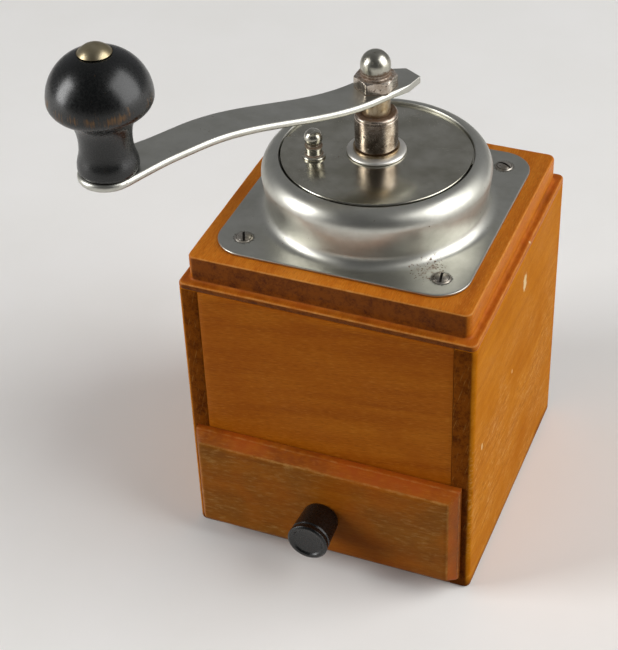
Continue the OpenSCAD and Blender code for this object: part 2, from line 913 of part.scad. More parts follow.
// Lug of the bowl: an arm from the flange to a round end about the screw
module lug_outline() {
    reach = lug_pitch / sqrt(2);
    translate([0, -lug_r])
        square([reach, 2 * lug_r]);
    translate([reach, 0])
        circle(lug_r);
}

// Bowl: a flange with four lugs, a cone and a seat for the outer burr
module hopper_bowl() {
    seat_outer_r = burr_r + burr_seat_wall;
    throat_r = burr_throat_r + burr_gap;
    color(cast_iron)
        difference() {
            union() {
                rotate_extrude()
                    polygon([
                        [throat_r, throat_z], [bean_hole_r, wall_h], [bean_hole_r + bowl_flange_w, wall_h],
                        [bean_hole_r + bowl_flange_w, wall_h - bowl_flange_t],
                        [bean_hole_r + bowl_wall - bowl_flange_t, wall_h - bowl_flange_t],
                        [seat_outer_r, throat_z], [seat_outer_r, seat_bottom], [burr_r, seat_bottom],
                        [burr_r, burr_top], [throat_r, burr_top]
                    ]);
                translate([0, 0, wall_h - bowl_flange_t])
                    difference() {
                        for (turn = [45 : 90 : 315])
                            rotate([0, 0, turn])
                                linear_extrude(bowl_flange_t)
                                    lug_outline();
                        translate([0, 0, -past])
                            cylinder(r = bean_hole_r + past, h = bowl_flange_t + 2 * past);
                    }
            }
            at_corners(lug_pitch)
                translate([0, 0, wall_h - bowl_flange_t])
                    countersunk_hole(bowl_screw_head_r, bowl_screw_head_h, bowl_screw_r,
                        bowl_flange_t + past);
            for (x = [-1, 1])
                translate([x * bridge_reach, 0, seat_bottom - past])
                    cylinder(r = bridge_screw_r, h = bridge_screw_grip + past);
        }
}

module bowl_screws() {
    color(worn_steel)
        at_corners(lug_pitch)
            translate([0, 0, wall_h - bowl_flange_t])
                countersunk_screw(bowl_screw_head_r, bowl_screw_head_h, bowl_screw_r,
                    bowl_flange_t + bowl_screw_grip);
}

// Skewed V-grooves along a cone from radius r1 at the bottom to r2 at height h
module cone_flutes(r1, r2, h) {
    lean = atan((r2 - r1) / h);
    for (i = [0 : flutes - 1])
        rotate([0, 0, 360 * i / flutes])
            translate([(r1 + r2) / 2, 0, h / 2])
                rotate([flute_skew, 0, 0])
                    rotate([0, lean, 0])
                        rotate([0, 0, 45])
                            cube([flute_t, flute_t, 2 * h], center = true);
}

module outer_burr() {
    color(cast_iron)
        translate([0, 0, burr_z])
            difference() {
                cylinder(r = burr_r, h = burr_h);
                rotate_extrude()
                    polygon([
                        [0, -past], [burr_mouth_r, -past], [burr_mouth_r, 0], [burr_throat_r, burr_h],
                        [burr_throat_r, burr_h + past], [0, burr_h + past]
                    ]);
                cone_flutes(burr_mouth_r, burr_throat_r, burr_h);
            }
}

module inner_burr() {
    color(cast_iron)
        difference() {
            translate([0, 0, burr_z])
                difference() {
                    cylinder(r1 = cone_r, r2 = cone_top_r, h = cone_h);
                    translate([0, 0, -past])
                        cylinder(r = spindle_r, h = cone_h + 2 * past);
                    cone_flutes(cone_r, cone_top_r, cone_h);
                }
            translate([0, 0, burr_pin_z])
                rotate([0, 90, 0])
                    cylinder(r = burr_pin_r, h = 2 * cone_r, center = true);
        }
}

module burr_pin() {
    color(worn_steel)
        translate([0, 0, burr_pin_z])
            rotate([0, 90, 0])
                cylinder(r = burr_pin_r, h = burr_pin_len, center = true);
}

// Bar under the burrs, with round ends and a boss for the spindle's journal
module bearing_bridge() {
    color(cast_iron)
        difference() {
            union() {
                translate([0, 0, bridge_z])
                    linear_extrude(bridge_t) {
                        square([2 * bridge_reach, bridge_w], center = true);
                        for (x = [-1, 1])
                            translate([x * bridge_reach, 0])
                                circle(bridge_end_r);
                    }
                translate([0, 0, boss_z])
                    cylinder(r = boss_r, h = boss_h);
            }
            translate([0, 0, boss_z - past])
                cylinder(r = journal_r + run_gap, h = boss_h + 2 * past);
            for (x = [-1, 1])
                translate([x * bridge_reach, 0, bridge_z - past])
                    cylinder(r = bridge_screw_r, h = bridge_t + 2 * past);
        }
}

module bridge_screws() {
    color(worn_steel)
        for (x = [-1, 1])
            translate([x * bridge_reach, 0, bridge_z])
                difference() {
                    union() {
                        cylinder(r = bridge_screw_r, h = bridge_t + bridge_screw_grip);
                        translate([0, 0, -bridge_screw_head_h])
                            cylinder(r = bridge_screw_head_r, h = bridge_screw_head_h);
                    }
                    translate([-bridge_screw_head_r - past, -slot_w / 2, -bridge_screw_head_h - past])
                        cube([2 * (bridge_screw_head_r + past), slot_w, past + slot_t]);
                }
}

// Height of the arm's upper face at distance s from the spindle
function arm_top(s) = crank_top + crank_rise * ease((s - bend_from) / (bend_to - bend_from));

// Stations along the arm: its two flat ends and the bend between them
arm_steps = 24;
arm_end = eye_x + eye_r + past;
arm_stations = concat(
    [-heel_len - past],
    [for (i = [0 : arm_steps]) bend_from + (bend_to - bend_from) * i / arm_steps],
    [arm_end]
);

module arm_side_outline() {
    last = len(arm_stations) - 1;
    polygon(concat(
        [for (s = arm_stations) [s, arm_top(s)]],
        [for (i = [last : -1 : 0]) [arm_stations[i], arm_top(arm_stations[i]) - crank_t]]
    ));
}

module arm_plan_outline() {
    half = crank_w / 2;
    polygon([
        [-heel_len, heel_clip_right - half], [heel_clip_len - heel_len, -half],
        [eye_x - flare_len, -half], [eye_x, -eye_r],
        [eye_x, eye_r], [eye_x - flare_len, half],
        [heel_clip_len - heel_len, half], [-heel_len, half - heel_clip_left]
    ]);
    translate([eye_x, 0])
        circle(eye_r);
}

module crank_arm() {
    arm_h = crank_t + crank_rise;
    color(nickel)
        rotate([0, 0, crank_angle])
            difference() {
                intersection() {
                    translate([0, 0, crank_z - past])
                        linear_extrude(arm_h + 2 * past)
                            arm_plan_outline();
                    rotate([90, 0, 0])
                        linear_extrude(2 * (eye_r + crank_w), center = true)
                            arm_side_outline();
                }
                rotate([0, 0, -crank_angle])
                    translate([-square_w / 2, -square_w / 2, crank_z - past])
                        cube([square_w, square_w, crank_t + 2 * past]);
                translate([crank_reach, 0, crank_z])
                    cylinder(r = pin_r, h = arm_h + past);
            }
}

// Cap nut: a chamfered hexagon, an acorn and a blind hole
module acorn_nut() {
    flat_r = 0.97 * nut_w / 2;
    turned_r = nut_corner_r + past;
    chamfer_h = (turned_r - flat_r) * tan(30);
    color(nickel)
        translate([0, 0, crank_top])
            difference() {
                union() {
                    intersection() {
                        rotate([0, 0, nut_turn])
                            cylinder(r = nut_corner_r, h = nut_h, $fn = 6);
                        rotate_extrude()
                            polygon([
                                [0, 0], [turned_r, 0], [turned_r, nut_h - chamfer_h],
                                [flat_r, nut_h], [0, nut_h]
                            ]);
                    }
                    rotate_extrude()
                        polygon(concat(
                            [[0, nut_h / 2], [acorn_r, nut_h / 2]],
                            arc([0, nut_h + acorn_h - acorn_r], acorn_r, 0, 90)
                        ));
                }
                translate([0, 0, -past])
                    cylinder(r = stud_r, h = past + nut_h + acorn_h / 2);
            }
}

// Places a child on the knob's axis at the spindle end of the crank's direction
module at_crank_knob() {
    rotate([0, 0, crank_angle])
        translate([crank_reach, 0, 0])
            children();
}

module crank_knob() {
    head_from = -acos((knob_neck_r + knob_flare_w) / knob_r);
    head_to = asin((cap_seat_z - knob_belly_z) / (knob_h - knob_belly_z));
    head_steps = 20;
    head = [for (i = [0 : head_steps])
        let (a = head_from + (head_to - head_from) * i / head_steps)
        [knob_r * cos(a), knob_belly_z + (a < 0 ? knob_under_h : knob_h - knob_belly_z) * sin(a)]];
    // The neck runs into the head along the head's own slope
    lead = 0.3;
    lead_in = head[0] - lead * [-knob_r * sin(head_from), knob_under_h * cos(head_from)];
    color(black_paint)
        at_crank_knob()
            translate([0, 0, knob_z])
                rotate_extrude()
                    polygon(concat(
                        [[knob_bore_r, 0], [knob_foot_r - knob_bevel, 0]],
                        curve([
                            [knob_foot_r, knob_bevel], [knob_foot_r, knob_neck_z / 2],
                            [knob_neck_r, knob_neck_z / 2], [knob_neck_r, knob_neck_z]
                        ]),
                        curve([
                            [knob_neck_r, knob_neck_z], [knob_neck_r, (knob_neck_z + head[0][1]) / 2],
                            lead_in, head[0]
                        ]),
                        head,
                        [[knob_bore_r, cap_seat_z]]
                    ));
}

// Pin riveted in the arm's eye, with a domed head on top of the knob
module knob_pin() {
    eye_z = crank_z + crank_rise;
    cap_ball = (cap_r * cap_r + cap_h * cap_h) / (2 * cap_h);
    color(nickel)
        at_crank_knob() {
            translate([0, 0, eye_z - rivet_h])
                cylinder(r1 = 0.7 * rivet_r, r2 = rivet_r, h = rivet_h);
            translate([0, 0, eye_z - rivet_h])
                cylinder(r = pin_r, h = rivet_h + cap_z + cap_h / 2 - eye_z);
            intersection() {
                translate([0, 0, cap_z + cap_h - cap_ball])
                    sphere(cap_ball);
                translate([0, 0, cap_z])
                    cylinder(r = cap_r, h = cap_h + past);
            }
        }
}

left_side_panel();
right_side_panel();
front_panel();
back_panel();
base_board();
top_board();
drawer_front();
drawer_left_side();
drawer_right_side();
drawer_back();
drawer_floor();
drawer_knob();
drawer_knob_screw();
dome_housing();
dome_screws();
bearing_deck();
deck_rivets();
bearing_bush();
bush_nut();
filler_lid();
lid_knob();
thrust_washer();
adjusting_sleeve();
thrust_spring();
spring_seat();
spring_pin();
spindle();
hopper_bowl();
bowl_screws();
outer_burr();
inner_burr();
burr_pin();
bearing_bridge();
bridge_screws();
crank_arm();
acorn_nut();
crank_knob();
knob_pin();
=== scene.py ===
import math

import bmesh
import bpy
from mathutils import Matrix, Vector, noise


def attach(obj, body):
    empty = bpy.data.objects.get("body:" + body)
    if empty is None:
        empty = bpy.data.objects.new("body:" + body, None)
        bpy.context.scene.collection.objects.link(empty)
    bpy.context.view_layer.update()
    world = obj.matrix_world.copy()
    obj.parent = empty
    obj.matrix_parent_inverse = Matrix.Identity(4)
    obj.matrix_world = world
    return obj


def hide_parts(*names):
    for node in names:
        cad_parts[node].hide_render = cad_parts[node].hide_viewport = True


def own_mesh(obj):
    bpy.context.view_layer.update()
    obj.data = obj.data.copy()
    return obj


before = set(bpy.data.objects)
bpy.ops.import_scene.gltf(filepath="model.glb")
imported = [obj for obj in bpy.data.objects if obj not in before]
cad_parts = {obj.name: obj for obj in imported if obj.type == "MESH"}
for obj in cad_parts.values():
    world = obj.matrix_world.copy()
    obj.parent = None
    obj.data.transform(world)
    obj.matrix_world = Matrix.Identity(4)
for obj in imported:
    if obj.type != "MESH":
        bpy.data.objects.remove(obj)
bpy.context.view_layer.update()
mm = 0.001
print("frame loaded:", len(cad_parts), "nodes")

# settings that many nodes share
smooth, stretched = {"interpolation_type": "SMOOTHSTEP"}, {"vector_type": "TEXTURE"}
colourMix, valueMix = {"data_type": "RGBA"}, {"data_type": "FLOAT"}
times, timesPlus, plus, minus = ({"operation": kind} for kind in ("MULTIPLY", "MULTIPLY_ADD", "ADD", "SUBTRACT"))
larger, unsigned, lengthOf, gapTo = ({"operation": kind} for kind in ("MAXIMUM", "ABSOLUTE", "LENGTH", "DISTANCE"))


def linear(hexText):  # sRGB hex to the linear colour that nodes take
    parts = [int(hexText[i:i + 2], 16) / 255 for i in (0, 2, 4)]
    return [c / 12.92 if c <= 0.04045 else ((c + 0.055) / 1.055) ** 2.4 for c in parts] + [1.0]


def feed(tree, node, inputs):  # values and links into a node; a node given as a value stands for its main output
    for key, value in inputs.items():
        if isinstance(value, bpy.types.Node):
            value = value.outputs[2 if getattr(value, "data_type", "") == "RGBA" else 0]
        if isinstance(value, bpy.types.NodeSocket):
            tree.links.new(value, node.inputs[key])
        else:
            node.inputs[key].default_value = value


def addNode(tree, kind, settings, inputs):  # one node with its settings, values and links
    made = tree.nodes.new("ShaderNode" + kind)
    for key, value in settings.items():
        if key == "stops":
            ramp = made.color_ramp.elements
            ramp.remove(ramp[1])
            for i, (place, hexText) in enumerate(value):
                stop = ramp[0] if i == 0 else ramp.new(place)
                stop.position = place
                stop.color = linear(hexText)
        else:
            setattr(made, key, value)
    feed(tree, made, inputs)
    return made


def newFinish(name):  # empty material: its tree, its shader and its Object coordinates
    finish = bpy.data.materials.new(name)
    finish.use_nodes = True
    tree = finish.node_tree
    return finish, tree, tree.nodes["Principled BSDF"], addNode(tree, "TexCoord", {}, {}).outputs["Object"]


# lays a colour over another where a pattern goes from start to end, and gives the mix and its mask
def coat(tree, under, over, pattern, start, end, most=1.0):
    mask = addNode(tree, "MapRange", smooth, {"Value": pattern, "From Min": start, "From Max": end, "To Max": most})
    colour = linear(over) if isinstance(over, str) else over
    return addNode(tree, "Mix", colourMix, {0: mask, 6: under, 7: colour}), mask


# Beech: planed, stained amber and varnished. Fine short ray flecks lie along the grain, the ends of
# the boards are dark and mottled, and the varnish is rubbed pale along the edges.
beechLook = {
    "deep": "A95E08", "mid": "B96C0C", "pale": "C67A16", "fleck": "8A5008", "paleFleck": "CE8E34", "red": "A5580A",
    # slope and slopeDark: the redder tint of sloping faces, on the drawer front a painted sheen
    "endDark": "562808", "endPale": "82440E", "saw": "AC7C40", "bare": "DDA55E", "nick": "E4C99A", "slope": "A24A12",
    "slopeDark": "7E3A10", "grime": "6E4A14", "scuff": "BE9050", "darkFlecks": 0.4, "paleFlecks": 0.55,
    "bandLength": 75, "bandWidth": 5.5, "fleckLength": 3.0, "fleckWidth": 0.36,  # mm
    "blotch": 26, "endPore": 0.9, "endRay": 4.0, "chip": 3.4, "scuffLength": 4.5, "scuffWidth": 1.2,  # mm
    "sawWidth": 0.45, "sawLength": 7, "scuffFade": 30,  # mm
    "rough": (0.40, 0.54), "wornRough": 0.62, "gloss": 0.12,
}
sideLook = {**beechLook, "scuff": "D09E5C", "deep": "B0660A", "mid": "BB700E", "pale": "C47A16", "gloss": 0.02,
    "rough": (0.46, 0.60), "darkFlecks": 0.2, "paleFlecks": 0.35}
# a paler, more golden copy of the beech for the top board: painted light on the top
litTopLook = {**beechLook, "deep": "B05B0C", "mid": "C26C14", "pale": "CE7B20", "red": "A24808"}
# a deeper, redder copy of the beech for the front board and the drawer front: painted shade on the front
shadedFrontLook = {**beechLook, "deep": "9E5107", "mid": "AC5C09", "pale": "B86811", "fleck": "7C4106",
    "paleFleck": "C47B28", "red": "9A4A08"}


def varnishedBeech(name, grain, seed, look, nicks=(), slant=0.0, grime=0.0, sawn=0.0, scuffed=(0.0, 0.0)):
    finish, tree, shader, spot = newFinish(name)

    def along(length, width):  # coordinates drawn out along the grain
        scale = [width * mm] * 3
        scale[grain] = length * mm
        return addNode(tree, "Mapping", stretched, {"Vector": spot, "Location": (seed, 2 * seed, 3 * seed),
            "Rotation": (0, math.radians(slant), 0), "Scale": scale})

    band = addNode(tree, "TexNoise", {}, {"Vector": along(look["bandLength"], look["bandWidth"]), "Scale": 1.0,
        "Detail": 4.0, "Roughness": 0.55, "Distortion": 0.35})
    tone = addNode(tree, "ValToRGB", {"stops": [(0.30, look["deep"]), (0.48, look["mid"]), (0.70, look["pale"])]},
        {"Fac": band})
    fleck = addNode(tree, "TexNoise", {}, {"Vector": along(look["fleckLength"], look["fleckWidth"]), "Scale": 1.0,
        "Detail": 2.0, "Roughness": 0.6})
    tone = coat(tree, tone, look["fleck"], fleck, 0.50, 0.70, look["darkFlecks"])[0]
    tone = coat(tree, tone, look["paleFleck"], fleck, 0.48, 0.28, look["paleFlecks"])[0]
    blotch = addNode(tree, "TexNoise", {}, {"Vector": spot, "Scale": 1 / (look["blotch"] * mm), "Detail": 3.0})
    tone = coat(tree, tone, look["red"], blotch, 0.46, 0.74, 0.4)[0]
    # end grain, with upright marks of the saw on the ends of the side boards
    pore = addNode(tree, "TexNoise", {}, {"Vector": along(1, look["endPore"]), "Scale": 1.0, "Detail": 4.0,
        "Roughness": 0.7, "Distortion": 0.6})
    ray = addNode(tree, "TexNoise", {}, {"Vector": spot, "Scale": 1 / (look["endRay"] * mm), "Detail": 3.0})
    mottle = addNode(tree, "Math", timesPlus, {0: ray, 1: 0.8, 2: pore})
    endTone = addNode(tree, "ValToRGB", {"stops": [(0.66, look["endDark"]), (1.12, look["endPale"])]},
        {"Fac": mottle})
    sawMap = addNode(tree, "Mapping", stretched, {"Vector": spot, "Rotation": (0, math.radians(14), 0),
        "Scale": (look["sawWidth"] * mm, look["sawWidth"] * mm, look["sawLength"] * mm)})
    sawLine = addNode(tree, "TexNoise", {}, {"Vector": sawMap, "Scale": 1.0, "Detail": 2.0})
    endTone = coat(tree, endTone, look["saw"], sawLine, 0.58, 0.76, sawn)[0]
    # the sloping edges of the drawer front, and the top board's ledge and cove, are tinted darker and redder, on the
    # drawer's slopes a painted sheen, and hands have greyed the drawer's middle
    slope = addNode(tree, "Attribute", {"attribute_name": "slope"}, {}).outputs["Fac"]
    uneven = addNode(tree, "MapRange", {}, {"Value": ray, "From Min": 0.35, "From Max": 0.65, "To Min": 0.45,
        "To Max": 0.9})
    redder = addNode(tree, "Math", times, {0: slope, 1: uneven})
    redTone = addNode(tree, "ValToRGB", {"stops": [(0.36, look["slopeDark"]), (0.56, look["slope"])]},
        {"Fac": blotch})
    tone = addNode(tree, "Mix", colourMix, {0: redder, 6: tone, 7: redTone})
    handled = addNode(tree, "MapRange", smooth, {"Value": blotch, "From Min": 0.75, "From Max": 0.3,
        "To Max": grime})
    level = addNode(tree, "Math", minus, {0: 1.0, 1: slope})
    onFace = addNode(tree, "Math", times, {0: handled, 1: level})
    tone = addNode(tree, "Mix", colourMix, {0: onFace, 6: tone, 7: linear(look["grime"])})
    # scuffs along the grain, below a given height
    scuff = addNode(tree, "TexNoise", {}, {"Vector": along(look["scuffLength"], look["scuffWidth"]), "Scale": 1.0,
        "Detail": 5.0, "Roughness": 0.7})
    height = addNode(tree, "SeparateXYZ", {}, {0: spot}).outputs[2]
    reach = addNode(tree, "MapRange", smooth, {"Value": height, "From Min": (scuffed[1] + look["scuffFade"]) * mm,
        "From Max": (scuffed[1] - look["scuffFade"]) * mm, "To Max": scuffed[0]})
    handful = addNode(tree, "MapRange", smooth, {"Value": blotch, "From Min": 0.62, "From Max": 0.40,
        "To Min": 0.15})
    spared = addNode(tree, "MapRange", {}, {"Value": level, "To Min": 0.25})
    patches = addNode(tree, "Math", times, {0: handful, 1: spared})
    amount = addNode(tree, "Math", times, {0: reach, 1: patches})
    tone = coat(tree, tone, look["scuff"], scuff, 0.50, 0.70, amount)[0]
    tone = coat(tree, tone, look["fleck"], scuff, 0.48, 0.32, amount)[0]
    # end grain shows where the surface faces along the grain, and the boards turn dark over the last few mm above the
    # table
    facing = addNode(tree, "SeparateXYZ", {}, {0: spot.node.outputs["Normal"]})
    square = addNode(tree, "Math", unsigned, {0: facing.outputs[grain]})
    tone = coat(tree, tone, endTone, square, 0.8, 0.98)[0]
    foot = addNode(tree, "Math", timesPlus, {0: blotch, 1: -8 * mm, 2: height})
    tone = coat(tree, tone, look["endDark"], foot, 1.5 * mm, -4 * mm, 0.7)[0]
    # rubbed edges: the wear attribute of the board, broken up by noise
    wear = addNode(tree, "Attribute", {"attribute_name": "wear"}, {}).outputs["Fac"]
    chip = addNode(tree, "TexNoise", {}, {"Vector": spot, "Scale": 1 / (look["chip"] * mm), "Detail": 6.0,
        "Roughness": 0.72})
    ragged = addNode(tree, "Math", times, {0: chip, 1: 0.5})
    rubbed = addNode(tree, "Math", timesPlus, {0: wear, 1: 0.5, 2: ragged})
    tone, bareness = coat(tree, tone, look["bare"], rubbed, 0.58, 0.98, 0.65)
    for place, size in nicks:  # pale dents, longer upwards, where the varnish has gone
        near = addNode(tree, "VectorMath", minus, {0: spot, 1: Vector(place) * mm})
        tall = addNode(tree, "VectorMath", times, {0: near, 1: (1.0, 1.0, 0.5)})
        away = addNode(tree, "VectorMath", lengthOf, {0: tall}).outputs["Value"]
        torn = addNode(tree, "Math", timesPlus, {0: chip, 1: -2.4 * size * mm, 2: away})
        tone, inside = coat(tree, tone, look["nick"], torn, 0.0, -0.5 * size * mm, 0.9)
        bareness = addNode(tree, "Math", larger, {0: bareness, 1: inside})
    gloss = addNode(tree, "MapRange", {}, {"Value": blotch, "From Min": 0.3, "From Max": 0.7,
        "To Min": look["rough"][0], "To Max": look["rough"][1]})
    rough = addNode(tree, "Mix", valueMix, {0: bareness, 2: gloss, 3: look["wornRough"]})
    relief = addNode(tree, "Math", timesPlus, {0: bareness, 1: -0.7, 2: fleck})
    bump = addNode(tree, "Bump", {}, {"Strength": 0.22, "Distance": 0.25 * mm, "Height": relief})
    feed(tree, shader, {"Base Color": tone, "Roughness": rough, "Normal": bump, "IOR": 1.5,
        "Specular IOR Level": look["gloss"]})
    return finish


# Plain drawer beech: sawn and left bare, browned and stained by coffee dust near the floor.
drawerLook = {"pale": "C79A62", "mid": "AD7D46", "dark": "7E552C", "stain": "4A2F1A", "bandLength": 60,
    "bandWidth": 4.0, "fleckLength": 4.0, "fleckWidth": 0.4, "cloud": 9, "stainTop": 36, "stainLow": 9,
    "stainWave": 24}  # mm


def bareBeech(name, grain):
    look = drawerLook
    finish, tree, shader, spot = newFinish(name)

    def along(length, width):  # coordinates drawn out along the grain
        scale = [1 / (width * mm)] * 3
        scale[grain] = 1 / (length * mm)
        return addNode(tree, "Mapping", {}, {"Vector": spot, "Scale": scale})

    band = addNode(tree, "TexNoise", {}, {"Vector": along(look["bandLength"], look["bandWidth"]), "Scale": 1.0,
        "Detail": 4.0})
    tone = addNode(tree, "ValToRGB", {"stops": [(0.3, look["dark"]), (0.5, look["mid"]), (0.7, look["pale"])]},
        {"Fac": band})
    fleck = addNode(tree, "TexNoise", {}, {"Vector": along(look["fleckLength"], look["fleckWidth"]), "Scale": 1.0,
        "Detail": 2.0})
    tone = coat(tree, tone, look["dark"], fleck, 0.54, 0.74, 0.6)[0]
    height = addNode(tree, "SeparateXYZ", {}, {0: spot}).outputs[2]
    cloud = addNode(tree, "TexNoise", {}, {"Vector": spot, "Scale": 1 / (look["cloud"] * mm), "Detail": 5.0,
        "Roughness": 0.65})
    level = addNode(tree, "Math", timesPlus, {0: cloud, 1: look["stainWave"] * mm, 2: height})
    tone = coat(tree, tone, look["stain"], level, look["stainTop"] * mm, look["stainLow"] * mm, 0.75)[0]
    bump = addNode(tree, "Bump", {}, {"Strength": 0.35, "Distance": 0.3 * mm, "Height": fleck})
    feed(tree, shader, {"Base Color": tone, "Normal": bump, "Roughness": 0.68})
    return finish


# Nickel plate on pressed steel: satin from years of wiping, with dull clouds, fine pits and a few
# specks where the steel has rusted through.
# mm; real scratches are finer
nickelLook = {"bright": "C2C1B9", "dull": "B3B2A9", "pit": "6A5340", "rust": "7C5C44", "ringDark": "2E261C",
    "cloud": 13, "pitSize": 0.8, "pitField": 8, "bloom": 2.6, "ring": 1.0, "scratchLength": 16, "scratchWidth": 0.7}


def nickelPlate(name, rough, pitted=0.4, rusty=(), brushed=0.0, tint=None, darkRings=()):
    look = nickelLook
    dull, bright = tint or (look["dull"], look["bright"])
    finish, tree, shader, spot = newFinish(name)
    cloud = addNode(tree, "TexNoise", {}, {"Vector": spot, "Scale": 1 / (look["cloud"] * mm), "Detail": 5.0,
        "Roughness": 0.62})
    tone = addNode(tree, "ValToRGB", {"stops": [(0.36, dull), (0.62, bright)]}, {"Fac": cloud})
    pit = addNode(tree, "TexNoise", {}, {"Vector": spot, "Scale": 1 / (look["pitSize"] * mm), "Detail": 2.0})
    field = addNode(tree, "TexNoise", {}, {"Vector": spot, "Scale": 1 / (look["pitField"] * mm), "Detail": 2.0})
    scar = addNode(tree, "Math", timesPlus, {0: field, 1: 0.55, 2: pit})
    near = None
    for place, radius in rusty:  # places where rust gathers round a screw or a seat
        away = addNode(tree, "VectorMath", gapTo, {0: spot, 1: Vector(place) * mm}).outputs["Value"]
        close = addNode(tree, "MapRange", smooth, {"Value": away, "From Min": radius * mm,
            "From Max": 0.25 * radius * mm})
        near = close if near is None else addNode(tree, "Math", larger, {0: near, 1: close})
    if near is not None:
        scar = addNode(tree, "Math", timesPlus, {0: near, 1: 0.19, 2: scar})
    tone, cover = coat(tree, tone, look["pit"], scar, 1.06 - 0.1 * pitted, 1.14 - 0.1 * pitted)
    if near is not None:
        bloom = addNode(tree, "TexNoise", {}, {"Vector": spot, "Scale": 1 / (look["bloom"] * mm), "Detail": 6.0,
            "Roughness": 0.7})
        spread = addNode(tree, "Math", timesPlus, {0: near, 1: 0.38, 2: bloom})
        tone, rust = coat(tree, tone, look["rust"], spread, 0.82, 1.08, 0.8)
        cover = addNode(tree, "Math", larger, {0: cover, 1: rust})
    for place, radius in darkRings:  # a dark ring round a screw head
        away = addNode(tree, "VectorMath", gapTo, {0: spot, 1: Vector(place) * mm}).outputs["Value"]
        edge = addNode(tree, "Math", timesPlus, {0: pit, 1: 2.2 * mm, 2: away})
        tone, ring = coat(tree, tone, look["ringDark"], edge, (radius + 1.3) * mm, (radius + 0.3) * mm, 0.75)
        cover = addNode(tree, "Math", larger, {0: cover, 1: ring})
    shine = addNode(tree, "MapRange", {}, {"Value": cloud, "From Min": 0.35, "From Max": 0.65,
        "To Min": rough * 1.15, "To Max": rough * 0.9})
    roughness = addNode(tree, "Mix", valueMix, {0: cover, 2: shine, 3: 0.75})
    bare = addNode(tree, "Math", timesPlus, {0: cover, 1: -0.7, 2: 1.0})
    scratchMap = addNode(tree, "Mapping", {}, {"Vector": spot, "Rotation": (0.3, 0.5, 0.7),
        "Scale": [1 / (look[key] * mm) for key in ("scratchLength", "scratchWidth", "scratchWidth")]})
    fine = addNode(tree, "TexNoise", {}, {"Vector": scratchMap, "Scale": 1.0, "Detail": 2.0})
    if brushed:  # rings left by the lathe or the buffing wheel
        flat = addNode(tree, "VectorMath", times, {0: spot, 1: (1, 1, 0)})
        reach = addNode(tree, "VectorMath", lengthOf, {0: flat}).outputs["Value"]
        rings = addNode(tree, "TexNoise", {"noise_dimensions": "1D"}, {"W": reach, "Scale": 1 / (look["ring"] * mm),
            "Detail": 3.0})
        fine = addNode(tree, "Math", timesPlus, {0: rings, 1: brushed, 2: fine})
    relief = addNode(tree, "Math", timesPlus, {0: cover, 1: -0.8, 2: fine})
    bump = addNode(tree, "Bump", {}, {"Strength": 0.03, "Distance": 0.2 * mm, "Height": relief})
    feed(tree, shader, {"Base Color": tone, "Metallic": bare, "Roughness": roughness, "Normal": bump})
    return finish


# Browned steel: turned bar whose plating has gone, with pits and rust gathered at given heights; on the acorn the
# brown at its foot is a painted reflection.
steelLook = {"bright": "B8AFA2", "brown": "93826F", "rust": "5E3E1A", "pit": "3A2A1E", "cloud": 4, "pitSize": 0.9,
    "speck": 1.3}  # mm


def brownedSteel(name, rough, rustAndReflectionLines=(), rusty=0.2, tint=None):
    look = steelLook
    bright, brown = tint or (look["bright"], look["brown"])
    finish, tree, shader, spot = newFinish(name)
    cloud = addNode(tree, "TexNoise", {}, {"Vector": spot, "Scale": 1 / (look["cloud"] * mm), "Detail": 6.0,
        "Roughness": 0.68})
    tone = addNode(tree, "ValToRGB", {"stops": [(0.38, brown), (0.6, bright)]}, {"Fac": cloud})
    height = addNode(tree, "SeparateXYZ", {}, {0: spot}).outputs[2]
    dampAndReflection = addNode(tree, "Math", plus, {0: cloud, 1: 0.1 * rusty})
    seat = None
    for level, reach in rustAndReflectionLines:  # heights, mm, where damp has stood; on the acorn, where a reflection is painted
        away = addNode(tree, "Math", minus, {0: height, 1: level * mm})
        size = addNode(tree, "Math", unsigned, {0: away})
        close = addNode(tree, "MapRange", smooth, {"Value": size, "From Min": reach * mm, "From Max": 0.0})
        seat = close if seat is None else addNode(tree, "Math", larger, {0: seat, 1: close})
    if seat is not None:
        dampAndReflection = addNode(tree, "Math", timesPlus, {0: seat, 1: 0.5, 2: dampAndReflection})
    speck = addNode(tree, "TexNoise", {}, {"Vector": spot, "Scale": 1 / (look["speck"] * mm), "Detail": 4.0,
        "Roughness": 0.7})
    patchy = addNode(tree, "Math", timesPlus, {0: speck, 1: 0.7, 2: dampAndReflection})
    tone, rust = coat(tree, tone, look["rust"], patchy, 1.0, 1.36, 0.85)
    pit = addNode(tree, "TexNoise", {}, {"Vector": spot, "Scale": 1 / (look["pitSize"] * mm), "Detail": 2.0})
    tone, pits = coat(tree, tone, look["pit"], pit, 0.64, 0.72, 0.8)
    cover = addNode(tree, "Math", larger, {0: pits, 1: rust})
    roughness = addNode(tree, "Mix", valueMix, {0: cover, 2: rough, 3: 0.78})
    bare = addNode(tree, "Math", timesPlus, {0: rust, 1: -0.75, 2: 1.0})
    relief = addNode(tree, "Math", timesPlus, {0: pits, 1: -0.8, 2: cloud})
    bump = addNode(tree, "Bump", {}, {"Strength": 0.3, "Distance": 0.25 * mm, "Height": relief})
    feed(tree, shader, {"Base Color": tone, "Metallic": bare, "Roughness": roughness, "Normal": bump})
    return finish


# Cast iron: sand cast and oiled, dark grey with a grainy skin.
ironLook = {"dark": "1F1F1F", "pale": "4A4947", "grit": 0.9, "cloud": 8}  # mm


